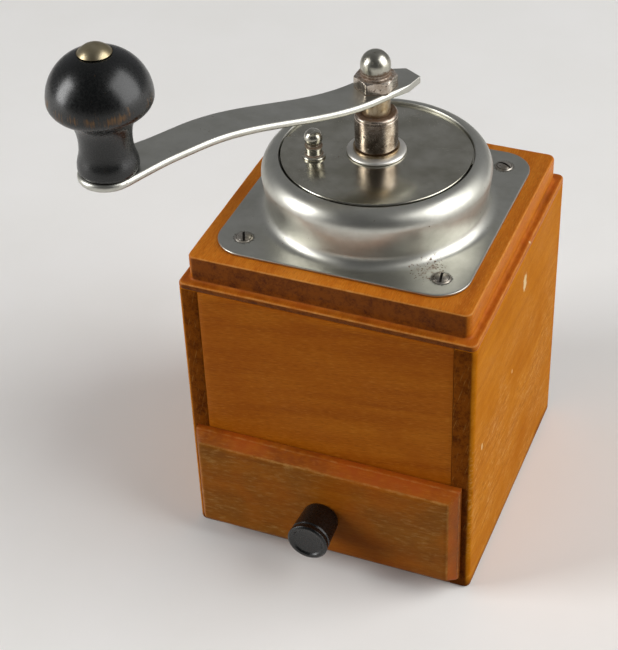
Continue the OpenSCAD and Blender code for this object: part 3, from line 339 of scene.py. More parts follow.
def oiledIron(name):
    look = ironLook
    finish, tree, shader, spot = newFinish(name)
    cloud = addNode(tree, "TexNoise", {}, {"Vector": spot, "Scale": 1 / (look["cloud"] * mm), "Detail": 6.0})
    tone = addNode(tree, "ValToRGB", {"stops": [(0.35, look["dark"]), (0.65, look["pale"])]}, {"Fac": cloud})
    grit = addNode(tree, "TexNoise", {}, {"Vector": spot, "Scale": 1 / (look["grit"] * mm), "Detail": 3.0})
    rough = addNode(tree, "MapRange", {}, {"Value": grit, "From Min": 0.3, "From Max": 0.7, "To Min": 0.42,
        "To Max": 0.66})
    bump = addNode(tree, "Bump", {}, {"Strength": 0.5, "Distance": 0.3 * mm, "Height": grit})
    feed(tree, shader, {"Base Color": tone, "Roughness": rough, "Normal": bump, "Metallic": 0.85})
    return finish


# Painted shade in a screw slot: a dark, dull finish for the slot's walls and floor.
slotShadeLook = {"dark": "14100B", "pale": "33291D", "grain": 0.5}  # mm


def paintedSlotShade(name):
    look = slotShadeLook
    finish, tree, shader, spot = newFinish(name)
    grain = addNode(tree, "TexNoise", {}, {"Vector": spot, "Scale": 1 / (look["grain"] * mm), "Detail": 3.0})
    tone = addNode(tree, "ValToRGB", {"stops": [(0.4, look["dark"]), (0.7, look["pale"])]}, {"Fac": grain})
    bump = addNode(tree, "Bump", {}, {"Strength": 0.4, "Distance": 0.1 * mm, "Height": grain})
    feed(tree, shader, {"Base Color": tone, "Normal": bump, "Roughness": 0.9})
    return finish


# Black lacquer on turned wood: satin, dusty with hairline scratches, and rubbed through to brown in
# upright streaks, here and there, where the hand grips it.
lacquerLook = {"black": "050606", "grey": "141514", "wood": "7A5424", "streak": 0.7, "streakLength": 9,
    "patch": 5.5, "dust": 0.8}  # mm


def blackLacquer(name, centre, band):
    look = lacquerLook
    finish, tree, shader, spot = newFinish(name)
    dust = addNode(tree, "TexNoise", {}, {"Vector": spot, "Scale": 1 / (look["dust"] * mm), "Detail": 4.0,
        "Roughness": 0.7})
    tone = addNode(tree, "ValToRGB", {"stops": [(0.4, look["black"]), (0.75, look["grey"])]}, {"Fac": dust})
    rough = addNode(tree, "MapRange", {}, {"Value": dust, "From Min": 0.3, "From Max": 0.7, "To Min": 0.22,
        "To Max": 0.33})
    if band:
        low, high = band
        streakMap = addNode(tree, "Mapping", {}, {"Vector": spot, "Scale": [1 / (look[key] * mm)
            for key in ("streak", "streak", "streakLength")]})
        streak = addNode(tree, "TexNoise", {}, {"Vector": streakMap, "Scale": 1.0, "Detail": 3.0})
        cloud = addNode(tree, "TexNoise", {}, {"Vector": spot, "Scale": 1 / (look["patch"] * mm), "Detail": 4.0})
        parts = addNode(tree, "SeparateXYZ", {}, {0: spot}).outputs
        away = addNode(tree, "Math", minus, {0: parts[2], 1: (low + high) / 2 * mm})
        size = addNode(tree, "Math", unsigned, {0: away})
        close = addNode(tree, "MapRange", smooth, {"Value": size, "From Min": (high - low) * 0.6 * mm,
            "From Max": 0.0, "To Max": 0.32})
        gripped = addNode(tree, "MapRange", smooth, {"Value": parts[1], "From Min": (centre[1] + 4) * mm,
            "From Max": (centre[1] - 14) * mm, "To Max": 0.12})
        patch = addNode(tree, "Math", timesPlus, {0: cloud, 1: 0.9, 2: streak})
        nearBand = addNode(tree, "Math", plus, {0: close, 1: gripped})
        rubbed = addNode(tree, "Math", plus, {0: nearBand, 1: patch})
        tone, worn = coat(tree, tone, look["wood"], rubbed, 1.32, 1.68, 0.75)
        rough = addNode(tree, "Mix", valueMix, {0: worn, 2: rough, 3: 0.6})
    bump = addNode(tree, "Bump", {}, {"Strength": 0.04, "Distance": 0.15 * mm, "Height": dust})
    feed(tree, shader, {"Base Color": tone, "Roughness": rough, "Normal": bump, "IOR": 1.52})
    return finish


knobAxis = (-56.0, -96.995)  # mm, the crank knob's pin
knobFoot = 195.9  # mm, where the crank knob stands on its arm
lugScrew = 38.15  # mm, the dome screws from the middle
flangeTop = 132.7  # mm, the upper face of the dome's flange
sideNicks = [((57.5, 4.5, 105.6), 2.0), ((57.5, -45.9, 65.0), 0.7), ((57.5, -8.0, 71.5), 0.6)]
beechFront = varnishedBeech("varnishedBeechFront", 0, 1.7, shadedFrontLook, (), -9.0)
beechAcross = varnishedBeech("varnishedBeechAcross", 0, 2.9, beechLook)
beechDrawer = varnishedBeech("varnishedBeechDrawer", 0, 5.1, shadedFrontLook, (), -5.0, 0.6, scuffed=(0.5, 200.0))
beechTop = varnishedBeech("varnishedBeechTop", 1, 4.3, litTopLook, [((57.5, 9.5, 121.5), 0.7)])
beechSide = varnishedBeech("varnishedBeechSide", 1, 7.9, sideLook, sideNicks, sawn=0.5, scuffed=(0.65, 85.0))
drawerAcross = bareBeech("bareBeechAcross", 0)
drawerDeep = bareBeech("bareBeechDeep", 1)
flangeScrews = [(x * lugScrew, y * lugScrew, flangeTop) for x in (-1, 1) for y in (-1, 1)]
pressedNickel = nickelPlate("satinNickelPressed", 0.37, 0.1, [((lugScrew - 5, -lugScrew + 3, flangeTop), 11),
    ((-lugScrew, -lugScrew, flangeTop), 5)], darkRings=[(place, 4.2) for place in flangeScrews])
lidNickel = nickelPlate("satinNickelBuffed", 0.20, 0.3, [((0, 0, 155.3), 12)], 0.3, ("A3A092", "BDBAAE"))
armNickel = nickelPlate("satinNickelForged", 0.33, 0.2, [((0, 0, 182.8), 13)])
# a paler copy of the nickel for the hub: painted highlight
hubNickel = nickelPlate("satinNickelTurned", 0.46, 0.1, (), 0.0, ("D4D1C8", "E2DFD8"))
capNickel = nickelPlate("wornNickelCap", 0.34, 0.3, (), 0.0, ("86754E", "B4A88C"))
ballNickel = brownedSteel("tarnishedNickelBall", 0.24, [(156.8, 0.4), (160.3, 1.2)], -0.2, ("C9C6BA", "A19D90"))
# the brown line at the foot of the acorn is a painted reflection
acornNickel = brownedSteel("tarnishedNickelAcorn", 0.28, [(188.8, 3.0)], 0.0, ("B9B7AC", "9C998C"))
nutSteel = brownedSteel("brownedNutSteel", 0.24, [(182.9, 0.6), (188.2, 1.8)], -0.4, ("CFC6BA", "A89A8C"))
sleeveSteel = brownedSteel("brownedSleeveSteel", 0.26, [(158.0, 0.9), (172.5, 1.1)], 0.1, ("BAAEA2", "7C6C5E"))
spindleSteel = brownedSteel("brownedSpindleSteel", 0.30, [(172.4, 1.8), (179.7, 0.9)], 0.0, ("B8A88E", "8C7450"))
screwSteel = brownedSteel("brownedScrewSteel", 0.36, (), -0.8, ("B6B0A6", "90887C"))
innerSteel = brownedSteel("oiledSteel", 0.36, (), -0.2)
castIron = oiledIron("oiledCastIron")
slotShade = paintedSlotShade("paintedSlotShade")
gripLacquer = blackLacquer("blackLacquerGrip", knobAxis, (knobFoot + 23.6, knobFoot + 31.6))
pullLacquer = blackLacquer("blackLacquerPull", None, None)
print("finishes made:", len(bpy.data.materials))


def finishPiece(bm, name, body, finish, replaced, sharp=38):  # mesh, smooth shading, body and slot
    mesh = bpy.data.meshes.new(name)
    bm.to_mesh(mesh)
    bm.free()
    mesh.shade_smooth()
    mesh.set_sharp_from_angle(angle=math.radians(sharp))
    mesh.materials.append(finish)
    piece = bpy.data.objects.new(name, mesh)
    bpy.context.scene.collection.objects.link(piece)
    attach(piece, body)
    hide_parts(*replaced)
    return piece


def eased(corners, steps=5):  # (radius, height, easing) corners of a profile, with the eased ones made arcs
    out = []
    for i, corner in enumerate(corners):
        here = Vector(corner[:2])
        if len(corner) < 3:
            out.append(here)
            continue
        before = (Vector(corners[i - 1][:2]) - here).normalized()
        after = (Vector(corners[i + 1][:2]) - here).normalized()
        half = before.angle(after) / 2
        middle = here + (before + after).normalized() * corner[2] / math.sin(half)
        start = here + before * corner[2] / math.tan(half) - middle
        end = here + after * corner[2] / math.tan(half) - middle
        for k in range(steps + 1):
            out.append(middle + start.lerp(end, k / steps).normalized() * corner[2])
    return out


def arc(centre, radius, fromAngle, toAngle, steps):  # points of a profile's arc, angles in degrees
    turns = [math.radians(fromAngle + (toAngle - fromAngle) * i / steps) for i in range(steps + 1)]
    return [Vector((centre[0] + radius * math.cos(a), centre[1] + radius * math.sin(a))) for a in turns]


def crownArc(radius, height, inset, base, steps):  # profile of a domed head, from inside its rim to its top
    ball = (radius ** 2 + height ** 2) / (2 * height)
    reach = math.degrees(math.asin((radius - inset) / ball))
    points = arc((0, base + height - ball), ball, 90 - reach, 90, steps)
    points[-1] = Vector((0, base + height))
    return points


def closeSeams(bm):  # merges seams and poles, and turns the faces outwards
    bmesh.ops.remove_doubles(bm, verts=bm.verts, dist=1e-6)
    bmesh.ops.dissolve_degenerate(bm, dist=1e-7, edges=bm.edges)
    bmesh.ops.recalc_face_normals(bm, faces=bm.faces)


def turned(profile, steps=96):  # spins a profile of (radius, height) in mm about the Z axis
    bm = bmesh.new()
    points = [bm.verts.new((p[0] * mm, 0, p[1] * mm)) for p in profile]
    lines = [bm.edges.new(pair) for pair in zip(points, points[1:])]
    bmesh.ops.spin(bm, geom=points + lines, cent=(0, 0, 0), axis=(0, 0, 1), angle=math.tau, steps=steps,
        use_merge=True)
    closeSeams(bm)
    return bm


def squareRing(half, corner, level, cornerSteps, sideSteps):  # points of a square with round corners, mm
    points = []
    flat = half - corner
    for quarter in range(4):
        spin = Matrix.Rotation(quarter * math.pi / 2, 3, "Z")
        for i in range(sideSteps):
            points.append(spin @ Vector((half, flat * (2 * i / sideSteps - 1), level)) * mm)
        for i in range(cornerSteps):
            a = math.pi / 2 * i / cornerSteps
            points.append(spin @ Vector((flat + corner * math.cos(a), flat + corner * math.sin(a), level)) * mm)
    return points


def roundRing(radius, level, guide):  # circle with a point under each point of the guide ring
    return [Vector((p.x, p.y, 0)).normalized() * radius * mm + Vector((0, 0, level * mm)) for p in guide]


def loft(bm, sections):  # skins a row of rings of equal count, and gives the first and last ring's edges
    ring = [bm.verts.new(p) for p in sections[0]]
    edges = [bm.edges.new((ring[i - 1], ring[i])) for i in range(len(ring))]
    first = edges
    for points in sections[1:]:
        grown = bmesh.ops.extrude_edge_only(bm, edges=edges)["geom"]
        fresh = {v for v in grown if isinstance(v, bmesh.types.BMVert)}
        ring = [next(e.other_vert(v) for e in v.link_edges if e.other_vert(v) in fresh) for v in ring]
        for vert, point in zip(ring, points):
            vert.co = point
        edges = [bm.edges.get((ring[i - 1], ring[i])) for i in range(len(ring))]
    return first, edges


def slices(bm, axis, low, high, step, rim=0.0):  # cuts a board into even strips, and a narrow one at each end
    count = max(1, round((high - low) / step))
    places = [low + (high - low) * i / count for i in range(1, count)]
    if rim:
        places += [low + rim, high - rim]
    for place in places:
        spot, facing = Vector(), Vector()
        spot[axis] = place * mm
        facing[axis] = 1
        bmesh.ops.bisect_plane(bm, geom=bm.verts[:] + bm.edges[:] + bm.faces[:], dist=1e-7, plane_co=spot,
            plane_no=facing)


def jagged(spot, broad, fine):  # coarse and fine unevenness at a place, sizes in mm
    return noise.noise(spot / (broad * mm)) + 0.5 * noise.noise(spot / (fine * mm))


# wears the edges between the bare sides, each an axis and a place in mm
def rubEdges(bm, sides, dent, reach=2.6, arris=1.2):
    layer = bm.verts.layers.float.new("wear")
    middle = sum((v.co for v in bm.verts), Vector()) / len(bm.verts)
    for v in bm.verts:
        gaps = [min([abs(v.co[axis] / mm - place) for own, place in sides if own == axis] or [99])
            for axis in range(3)]
        second = sorted(gaps)[1]
        v[layer] = max(0.0, 1 - second / reach)
        if second < arris:
            push = dent * mm * max(0.0, jagged(v.co, 9, 3.1) - 0.1)
            for axis in range(3):
                if gaps[axis] < arris:
                    v.co[axis] += push if v.co[axis] < middle[axis] else -push


def wearLayers(bm):  # a new layer moves the one before, so both are fetched when both are there
    layers = bm.verts.layers.float
    for name in ("wear", "slope"):
        layers.new(name)
    return layers["wear"], layers["slope"]


def bevelEdges(bm, picked, size, segments):  # rounds the given edges, size in mm
    bmesh.ops.bevel(bm, geom=picked, offset=size * mm, offset_type="OFFSET", segments=segments, profile=0.5,
        affect="EDGES", material=-1)


def bevelWhere(bm, size, segments, test):  # rounds the edges whose ends pass the test, in mm
    bevelEdges(bm, [e for e in bm.edges if test(e.verts[0].co / mm, e.verts[1].co / mm)], size, segments)


def boardBlock(low, high):  # plain block between two corners in mm
    bm = bmesh.new()
    bmesh.ops.create_cube(bm, size=1.0)
    low, high = Vector(low) * mm, Vector(high) * mm
    bmesh.ops.scale(bm, vec=high - low, verts=bm.verts)
    bmesh.ops.translate(bm, vec=(low + high) / 2, verts=bm.verts)
    return bm


def easeSharp(bm, size, segments, angle=50):  # takes the arris off every edge that is still square
    picked = [e for e in bm.edges if len(e.link_faces) == 2 and e.calc_face_angle() > math.radians(angle)]
    bevelEdges(bm, picked, size, segments)


def on(value, *spots):  # whether a coordinate is at one of the places, within a hair
    return any(abs(value - s) < 0.02 for s in spots)


# Box: the two side boards run the full depth and show their end grain beside the front.
boxSizes = {"half": 57.5, "inner": 49.5, "wallTop": 118.5, "bayTop": 50.5, "baseTop": 8.0, "upright": 2.5,
    "foot": 1.2, "arris": 0.35, "strip": 5.0, "sideRim": 3.4, "rim": 2.7, "dent": 0.22}  # mm


def sideBoard(side, name, node):
    s = boxSizes
    low = (s["inner"] if side > 0 else -s["half"], -s["half"], 0)
    high = (s["half"] if side > 0 else -s["inner"], s["half"], s["wallTop"])
    outer, inner = side * s["half"], side * s["inner"]
    bm = boardBlock(low, high)
    bevelWhere(bm, s["upright"], 6, lambda a, b: on(a.x, outer) and on(b.x, outer) and abs(a.z - b.z) > 9)
    bevelWhere(bm, s["foot"], 4, lambda a, b: on(a.z, 0) and on(b.z, 0) and not (on(a.x, inner) and on(b.x, inner)))
    easeSharp(bm, s["arris"], 2)
    slices(bm, 1, -s["half"], s["half"], s["strip"], s["sideRim"])
    slices(bm, 2, 0, s["wallTop"], s["strip"], s["rim"])
    rubEdges(bm, [(0, outer), (1, -s["half"]), (1, s["half"]), (2, 0)], s["dent"])
    return finishPiece(bm, name, "mill_body", beechSide, [node])


# foot: the side that is bare down to the table
def flatBoard(low, high, name, node, body, finish, arris, foot=None):
    bm = boardBlock(low, high)
    if foot:
        bevelWhere(bm, boxSizes["foot"], 4, lambda *ends: all(on(p.z, 0) and on(p.y, foot) for p in ends))
    easeSharp(bm, arris, 2)
    for axis in range(3):
        if high[axis] - low[axis] > 30:
            slices(bm, axis, low[axis], high[axis], boxSizes["strip"], boxSizes["rim"])
    rubEdges(bm, [(1, foot), (2, 0)] if foot else [], 0.5 * boxSizes["dent"])
    return finishPiece(bm, name, body, finish, [node])


s = boxSizes
sideBoard(-1, "sideBoardLeft", "left_side_panel")
sideBoard(1, "sideBoardRight", "right_side_panel")
boxBoards = [  # name, node, two corners, finish, and the side that is bare down to the table
    ("frontBoard", "front_panel", (-s["inner"], -s["half"], s["bayTop"]), (s["inner"], -s["inner"], s["wallTop"]),
     beechFront, None),
    ("backBoard", "back_panel", (-s["inner"], s["inner"], 0), (s["inner"], s["half"], s["wallTop"]),
     beechAcross, s["half"]),
    ("baseBoard", "base_board", (-s["inner"], -s["half"], 0), (s["inner"], s["inner"], s["baseTop"]),
     beechAcross, -s["half"]),
]
for name, node, low, high, finish, foot in boxBoards:
    flatBoard(low, high, name, node, "mill_body", finish, s["arris"], foot)
print("box boards made")

# Top board: a thin ledge over the box and a raised step with a small cove at its foot.
topSizes = {"half": 57.5, "corner": 2.6, "low": 118.5, "ledge": 121.0, "edge": 0.8, "stepHalf": 54.3,
    "stepCorner": 3.0, "cove": 1.1, "top": 131.5, "hole": 40.0, "arris": 0.3, "dent": 0.25}  # mm
arrisWear = [0.1, 0.7, 1, 1, 1, 0.7, 0.1]  # round an arris, from one face to the other


def topBoard():
    t = topSizes
    cut = {"cornerSteps": 10, "sideSteps": 28}
    guide = squareRing(t["half"], t["corner"], 0, **cut)
    rows = [(t["half"] - t["arris"], t["low"], t["corner"] - t["arris"], 0, 0),
        (t["half"], t["low"] + t["arris"], t["corner"], 0, 0)]
    for p, wear in zip(arc((t["half"] - t["edge"], t["ledge"] - t["edge"]), t["edge"], 0, 90, 6), arrisWear):
        rows.append((p.x, p.y, t["corner"] - t["half"] + p.x, wear, 0.4))
    rows.append((t["half"] - 1.4, t["ledge"], 2.4, 0, 0.8))  # the ledge and the cove are tinted darker and redder, like the sloping faces
    for p in arc((t["stepHalf"] + t["cove"], t["ledge"] + t["cove"]), t["cove"], 270, 180, 5):
        rows.append((p.x, p.y, t["stepCorner"] - t["stepHalf"] + p.x, 0, 0.8))
    rows += [(t["stepHalf"], level, t["stepCorner"], 0, 0) for level in (123.4, 127.0, t["top"] - t["edge"] - 0.5)]
    for p, wear in zip(arc((t["stepHalf"] - t["edge"], t["top"] - t["edge"]), t["edge"], 0, 90, 6), arrisWear):
        rows.append((p.x, p.y, t["stepCorner"] - t["stepHalf"] + p.x, wear, 0))
    rows += [(t["stepHalf"] - 1.6, t["top"], 1.4, 0, 0), (t["stepHalf"] - 6, t["top"], 0.9, 0, 0)]
    sections = [roundRing(t["hole"], t["low"], guide)] + [squareRing(row[0], row[2], row[1], **cut) for row in rows]
    sections += [roundRing(t["hole"] + 0.4, t["top"], guide), roundRing(t["hole"], t["top"] - 0.4, guide),
        sections[0]]
    bm = bmesh.new()
    loft(bm, sections)
    layer, slope = wearLayers(bm)
    for i, v in enumerate(bm.verts):
        row = i // len(guide) - 1
        if not 0 <= row < len(rows):
            continue
        v[layer], v[slope] = rows[row][3:]
        if rows[row][3] > 0.5:
            out = Vector((v.co.x, v.co.y, 0)).normalized()
            v.co -= out * t["dent"] * mm * max(0.0, jagged(v.co, 10, 3.3))
    closeSeams(bm)
    return finishPiece(bm, "topBoard", "mill_body", beechTop, ["top_board"], 50)


topBoard()
print("top board made")

# Drawer: a front with broad sloping edges, and a plain box behind it.
drawerSizes = {"half": 53.9, "back": -57.7, "straight": 3.0, "slopeIn": 3.0, "slopeOut": 5.0, "low": 6.8,
    "high": 53.3, "soft": 0.9, "arris": 0.4, "strip": 5.0, "dent": 0.3, "boxHalf": 49.0, "wall": 5.0, "floor": 3.5,
    "boxLow": 8.2, "boxHigh": 46.7, "boxBack": 48.0, "floorArris": 0.15}  # mm


def drawerFront():
    d = drawerSizes
    face = d["back"] - d["straight"]
    bm = boardBlock((-d["half"], face, d["low"]), (d["half"], d["back"], d["high"]))
    front = [f for f in bm.faces if f.normal.y < -0.9]
    bmesh.ops.inset_region(bm, faces=front, thickness=d["slopeIn"] * mm, use_even_offset=True)
    bmesh.ops.translate(bm, vec=(0, -d["slopeOut"] * mm, 0), verts=front[0].verts[:])
    bm.normal_update()
    bevelWhere(bm, d["soft"], 4, lambda a, b: not (on(a.y, d["back"]) or on(b.y, d["back"])))
    bevelWhere(bm, d["arris"], 2, lambda a, b: on(a.y, d["back"]) and on(b.y, d["back"]))
    slices(bm, 0, -d["half"], d["half"], d["strip"])
    slices(bm, 2, d["low"], d["high"], d["strip"])
    low = Vector((-d["half"], face - d["slopeOut"], d["low"]))
    high = Vector((d["half"], d["back"], d["high"]))
    layer, slope = wearLayers(bm)
    for v in bm.verts:
        depth = (v.co.y / mm - low.y) / d["slopeOut"]  # 0 at the face, 1 at the foot of the slope
        inset = min(v.co.x / mm - low.x, high.x - v.co.x / mm, v.co.z / mm - low.z, high.z - v.co.z / mm)
        arris = min(abs(inset - d["slopeIn"]) + 4 * max(0.0, depth - 0.1), inset + 4 * abs(depth - 1))
        v[layer] = max(0.0, 1 - max(0.0, arris) / 1.8)
        # the sloping faces get the redder tint, a painted sheen
        v[slope] = min(max((depth - 0.06) / 0.12, 0.0), 1.0)
        if v[layer] > 0.55:
            v.co.y += d["dent"] * mm * max(0.0, jagged(v.co, 8, 2.7))
    return finishPiece(bm, "drawerFront", "drawer", beechDrawer, ["drawer_front"])


drawerFront()
d = drawerSizes
side, inside, back, floor = d["boxHalf"], d["boxHalf"] - d["wall"], d["boxBack"] - d["wall"], d["boxLow"] + d["floor"]
drawerBoards = [  # name, node, two corners, finish, easing
    ("drawerWallLeft", "drawer_left_side", (-side, d["back"], d["boxLow"]), (-inside, d["boxBack"], d["boxHigh"]),
     drawerDeep, d["arris"]),
    ("drawerWallRight", "drawer_right_side", (inside, d["back"], d["boxLow"]), (side, d["boxBack"], d["boxHigh"]),
     drawerDeep, d["arris"]),
    ("drawerWallBack", "drawer_back", (-inside, back, d["boxLow"]), (inside, d["boxBack"], d["boxHigh"]),
     drawerAcross, d["arris"]),
    ("drawerFloor", "drawer_floor", (-inside, d["back"], d["boxLow"]), (inside, back, floor),
     drawerAcross, d["floorArris"]),
]
for name, node, low, high, finish, arris in drawerBoards:
    flatBoard(low, high, name, node, "drawer", finish, arris)

# Drawer knob: turned, a little wider at its rim, with a bead and a dished end.
pullSizes = {"foot": 7.2, "rim": 8.1, "length": 15.2, "seat": -65.7, "height": 27.65, "groove": 12.4}  # mm


def drawerKnob():
    k = pullSizes
    g = k["groove"]
    grooveRadius = k["foot"] + (k["rim"] - k["foot"]) * g / (k["length"] - 1)
    profile = eased([(0, 0), (k["foot"] - 0.3, 0, 0.25), (k["foot"] + 0.05, 1.0, 0.4),
        (grooveRadius - 0.1, g - 0.6, 0.15), (grooveRadius - 0.45, g, 0.2), (k["rim"] - 0.1, g + 0.6, 0.25),
        (k["rim"], k["length"] - 0.5, 0.35), (k["rim"] - 0.8, k["length"], 0.3),
        (k["rim"] - 1.7, k["length"] - 0.15, 0.3), (k["rim"] - 2.4, k["length"] - 0.8, 0.4),
        (2.0, k["length"] - 0.95, 0.5), (0, k["length"] - 0.95)])
    bm = turned(profile, 80)
    place = Matrix.Translation((0, k["seat"] * mm, k["height"] * mm)) @ Matrix.Rotation(math.pi / 2, 4, "X")
    bmesh.ops.transform(bm, matrix=place, verts=bm.verts)
    return finishPiece(bm, "drawerKnob", "drawer", pullLacquer, ["drawer_knob"], 45)


drawerKnob()
print("drawer made")

# Dome: one pressed sheet, from the square flange through the cove and the shoulder to the rim.
domeSizes = {"half": 48.5, "corner": 12.5, "low": 131.5, "sheet": 1.2, "waist": 41.7, "cove": 4.5, "wide": 43.0,
    "top": 155.0, "shoulder": 7.0, "rim": 36.2, "seatRadius": 33.2, "seatTop": 152.3, "edge": 0.4}  # mm


def domeShell():
    d = domeSizes
    cut = {"cornerSteps": 18, "sideSteps": 24}
    guide = squareRing(d["half"], d["corner"], 0, **cut)
    high = d["low"] + d["sheet"]
    foot = d["waist"] + d["cove"]
    edge = [(d["half"] - d["edge"], d["low"]), (d["half"], d["low"] + d["edge"]), (d["half"], high - d["edge"])]
    edge += [(p.x, p.y) for p in arc((d["half"] - d["edge"], high - d["edge"]), d["edge"], 20, 90, 4)]
    edge += [(d["half"] - 1.1, high)]
    sections = [squareRing(half, d["corner"] - (d["half"] - half), level, **cut) for half, level in edge]
    outer = [Vector((foot + 0.9, high))] + arc((foot, high + d["cove"]), d["cove"], 270, 180, 10)
    outer += [Vector((d["waist"] + 0.35, high + 7.6)), Vector((d["waist"] + 0.75, high + 10.6))]
    outer += arc((d["wide"] - d["shoulder"], d["top"] - d["shoulder"]), d["shoulder"], 0, 84, 14)
    outer += arc((d["rim"] + 0.5, d["top"] - 0.55), 0.5, 80, 180, 6)
    outer += [Vector((d["rim"], d["seatTop"] + 0.1)), Vector((d["rim"] - 0.2, d["seatTop"])),
        Vector((d["seatRadius"] + 0.2, d["seatTop"]))]
    outer += [Vector((d["seatRadius"], d["seatTop"] - 0.2)), Vector((d["seatRadius"], d["seatTop"] - 1.0))]
    outer += [Vector((d["seatRadius"] + 0.2, d["seatTop"] - 1.2)), Vector((d["rim"] + 1.0, d["seatTop"] - 1.2))]
    outer += [Vector((d["rim"] + 1.2, d["seatTop"] - 1.0)), Vector((d["rim"] + 1.2, d["top"] - 1.6))]
    inner = d["shoulder"] - d["sheet"]
    outer += arc((d["wide"] - d["shoulder"], d["top"] - d["shoulder"]), inner, 72, 0, 10)
    outer += [Vector((d["waist"] - 0.75, high + 9.0))]
    outer += arc((foot, high + d["cove"]), d["cove"] + d["sheet"], 180, 270, 8)
    sections += [roundRing(p.x, p.y, guide) for p in outer]
    sections.append(sections[0])
    bm = bmesh.new()
    loft(bm, sections)
    closeSeams(bm)
    return finishPiece(bm, "domeShell", "mill_body", pressedNickel, ["dome_housing"], 50)


domeShell()

# Dome screws: round heads with a sawn slot, each turned its own way.
screwSizes = {"radius": 3.6, "height": 1.4, "slot": 0.7, "depth": 0.8, "seat": flangeTop, "reach": 53.95,
    "shank": 1.9, "length": 12.0, "turns": [-66, 110, 69, -36]}  # mm, degrees


def cutAway(bm, place, facing):  # keeps what lies behind a plane, and closes the cut
    made = bmesh.ops.bisect_plane(bm, geom=bm.verts[:] + bm.edges[:] + bm.faces[:], dist=1e-7, plane_co=place,
        plane_no=facing, clear_outer=True)
    rim = [e for e in made["geom_cut"] if isinstance(e, bmesh.types.BMEdge)]
    bmesh.ops.contextual_create(bm, geom=rim)


def domeScrews():
    k = screwSizes
    crown = crownArc(k["radius"], k["height"], 0.15, 0.0, 12)
    head = [Vector((0, 0)), Vector((k["radius"] - 0.35, 0)), Vector((k["radius"] - 0.05, 0.12))] + crown
    floor = k["height"] - k["depth"]
    whole = bpy.data.meshes.new("screwParts")
    joined = bmesh.new()
    for i, slotTurn in enumerate(k["turns"]):
        place = Matrix.Rotation(math.radians(45 + 90 * i), 4, "Z") @ Matrix.Translation((k["reach"] * mm, 0,
            k["seat"] * mm))
        place = place @ Matrix.Rotation(math.radians(slotTurn), 4, "Z")
        for part in ("base", "left", "right", "shank"):
            if part == "shank":
                bm = turned([(0, -k["length"]), (k["shank"] - 0.8, -k["length"] + 0.6),
                    (k["shank"], -k["length"] + 2.4), (k["shank"], 0.0), (0, 0.0)], 32)
            else:
                bm = turned(head, 56)
            if part == "base":
                cutAway(bm, (0, 0, floor * mm), (0, 0, 1))
            if part in ("left", "right"):
                side = 1 if part == "left" else -1
                cutAway(bm, (0, side * k["slot"] / 2 * mm, 0), (0, -side, 0))
                cutAway(bm, (0, 0, floor * mm), (0, 0, -1))
                easeSharp(bm, 0.12, 2, 40)
            bmesh.ops.recalc_face_normals(bm, faces=bm.faces)
            for face in bm.faces:  # the slot's walls and floor take the painted slot shade
                middle = face.calc_center_median() / mm
                wall = part in ("left", "right") and abs(middle.y) < k["slot"] / 2 + 0.1
                face.material_index = int(wall or (part == "base" and middle.z > floor - 0.05))
            bmesh.ops.transform(bm, matrix=place, verts=bm.verts)
            bm.to_mesh(whole)
            bm.free()
            joined.from_mesh(whole)
    bpy.data.meshes.remove(whole)
    piece = finishPiece(joined, "domeScrews", "mill_body", screwSteel, ["dome_screws"], 30)
    piece.data.materials.append(slotShade)
    return piece


domeScrews()
print("dome and screws made")

# Lid and deck: two half-moon sheets round the hub, the lid above and the deck below and behind it.
lidSizes = {"turn": 11, "radius": 35.6, "low": 154.1, "top": 155.3, "back": 5.0, "ear": 10.5, "hole": 8.05,
    "edge": 0.5}
deckSizes = {"turn": 11, "radius": 36.1, "low": 152.3, "top": 153.8, "back": 2.0, "ear": 13.0, "hole": 7.0,
    "edge": 0.2}


def moonOutline(m, inset):  # half-moon with its ear round the hub, on the side of minus Y
    radius, ear, back = m["radius"] - inset, m["ear"] - inset, m["back"] - inset
    wide = math.degrees(math.asin(back / radius))
    tight = math.degrees(math.asin(back / ear))
    points = arc((0, 0), radius, 180 - wide, 360 + wide, 150)
    points += [Vector((x, back)) for x in (radius * 0.72, radius * 0.5)]
    points += arc((0, 0), ear, tight, 180 - tight, 40)
    points += [Vector((x, back)) for x in (-radius * 0.5, -radius * 0.72)]
    return points


def moonPlate(m, name, node, body, finish, flip):
    bm = bmesh.new()
    place = Matrix.Rotation(math.radians(m["turn"] + (180 if flip else 0)), 3, "Z")
    shape = [(m["edge"], m["low"]), (0.3 * m["edge"], m["low"] + 0.3 * m["edge"]), (0, m["low"] + m["edge"])]
    shape += [(m["edge"] - p.x, p.y) for p in arc((0, m["top"] - m["edge"]), m["edge"], 0, 90, 5)]
    rings = [[place @ Vector((p.x, p.y, level)) * mm for p in moonOutline(m, inset)] for inset, level in shape]
    lowOuter, topOuter = loft(bm, rings)
    circle = arc((0, 0), m["hole"], 0, 360, 96)[:-1]
    hole = [[Vector((p.x, p.y, level)) * mm for p in circle] for level in (m["low"], m["top"] - 0.2)]
    hole.append([Vector((p.x * 1.025, p.y * 1.025, m["top"])) * mm for p in circle])
    lowInner, topInner = loft(bm, hole)
    for edges in (lowOuter + lowInner, topOuter + topInner):
        bmesh.ops.triangle_fill(bm, use_beauty=True, edges=edges)
    bmesh.ops.recalc_face_normals(bm, faces=bm.faces)
    return finishPiece(bm, name, body, finish, [node], 30)


moonPlate(lidSizes, "fillerLid", "filler_lid", "lid", lidNickel, False)
moonPlate(deckSizes, "bearingDeck", "bearing_deck", "mill_body", lidNickel, True)

# Ball knob on the lid: a dished foot, a waist with a bead, and a polished ball.
ballSizes = {"seat": 155.3, "low": 154.1, "radius": 3.45, "centre": 8.0, "foot": 4.4, "stem": 3.0, "collar": 3.3,
    "groove": 2.6, "reach": 23.2, "angle": 11 - 90 - 73}  # mm, degrees


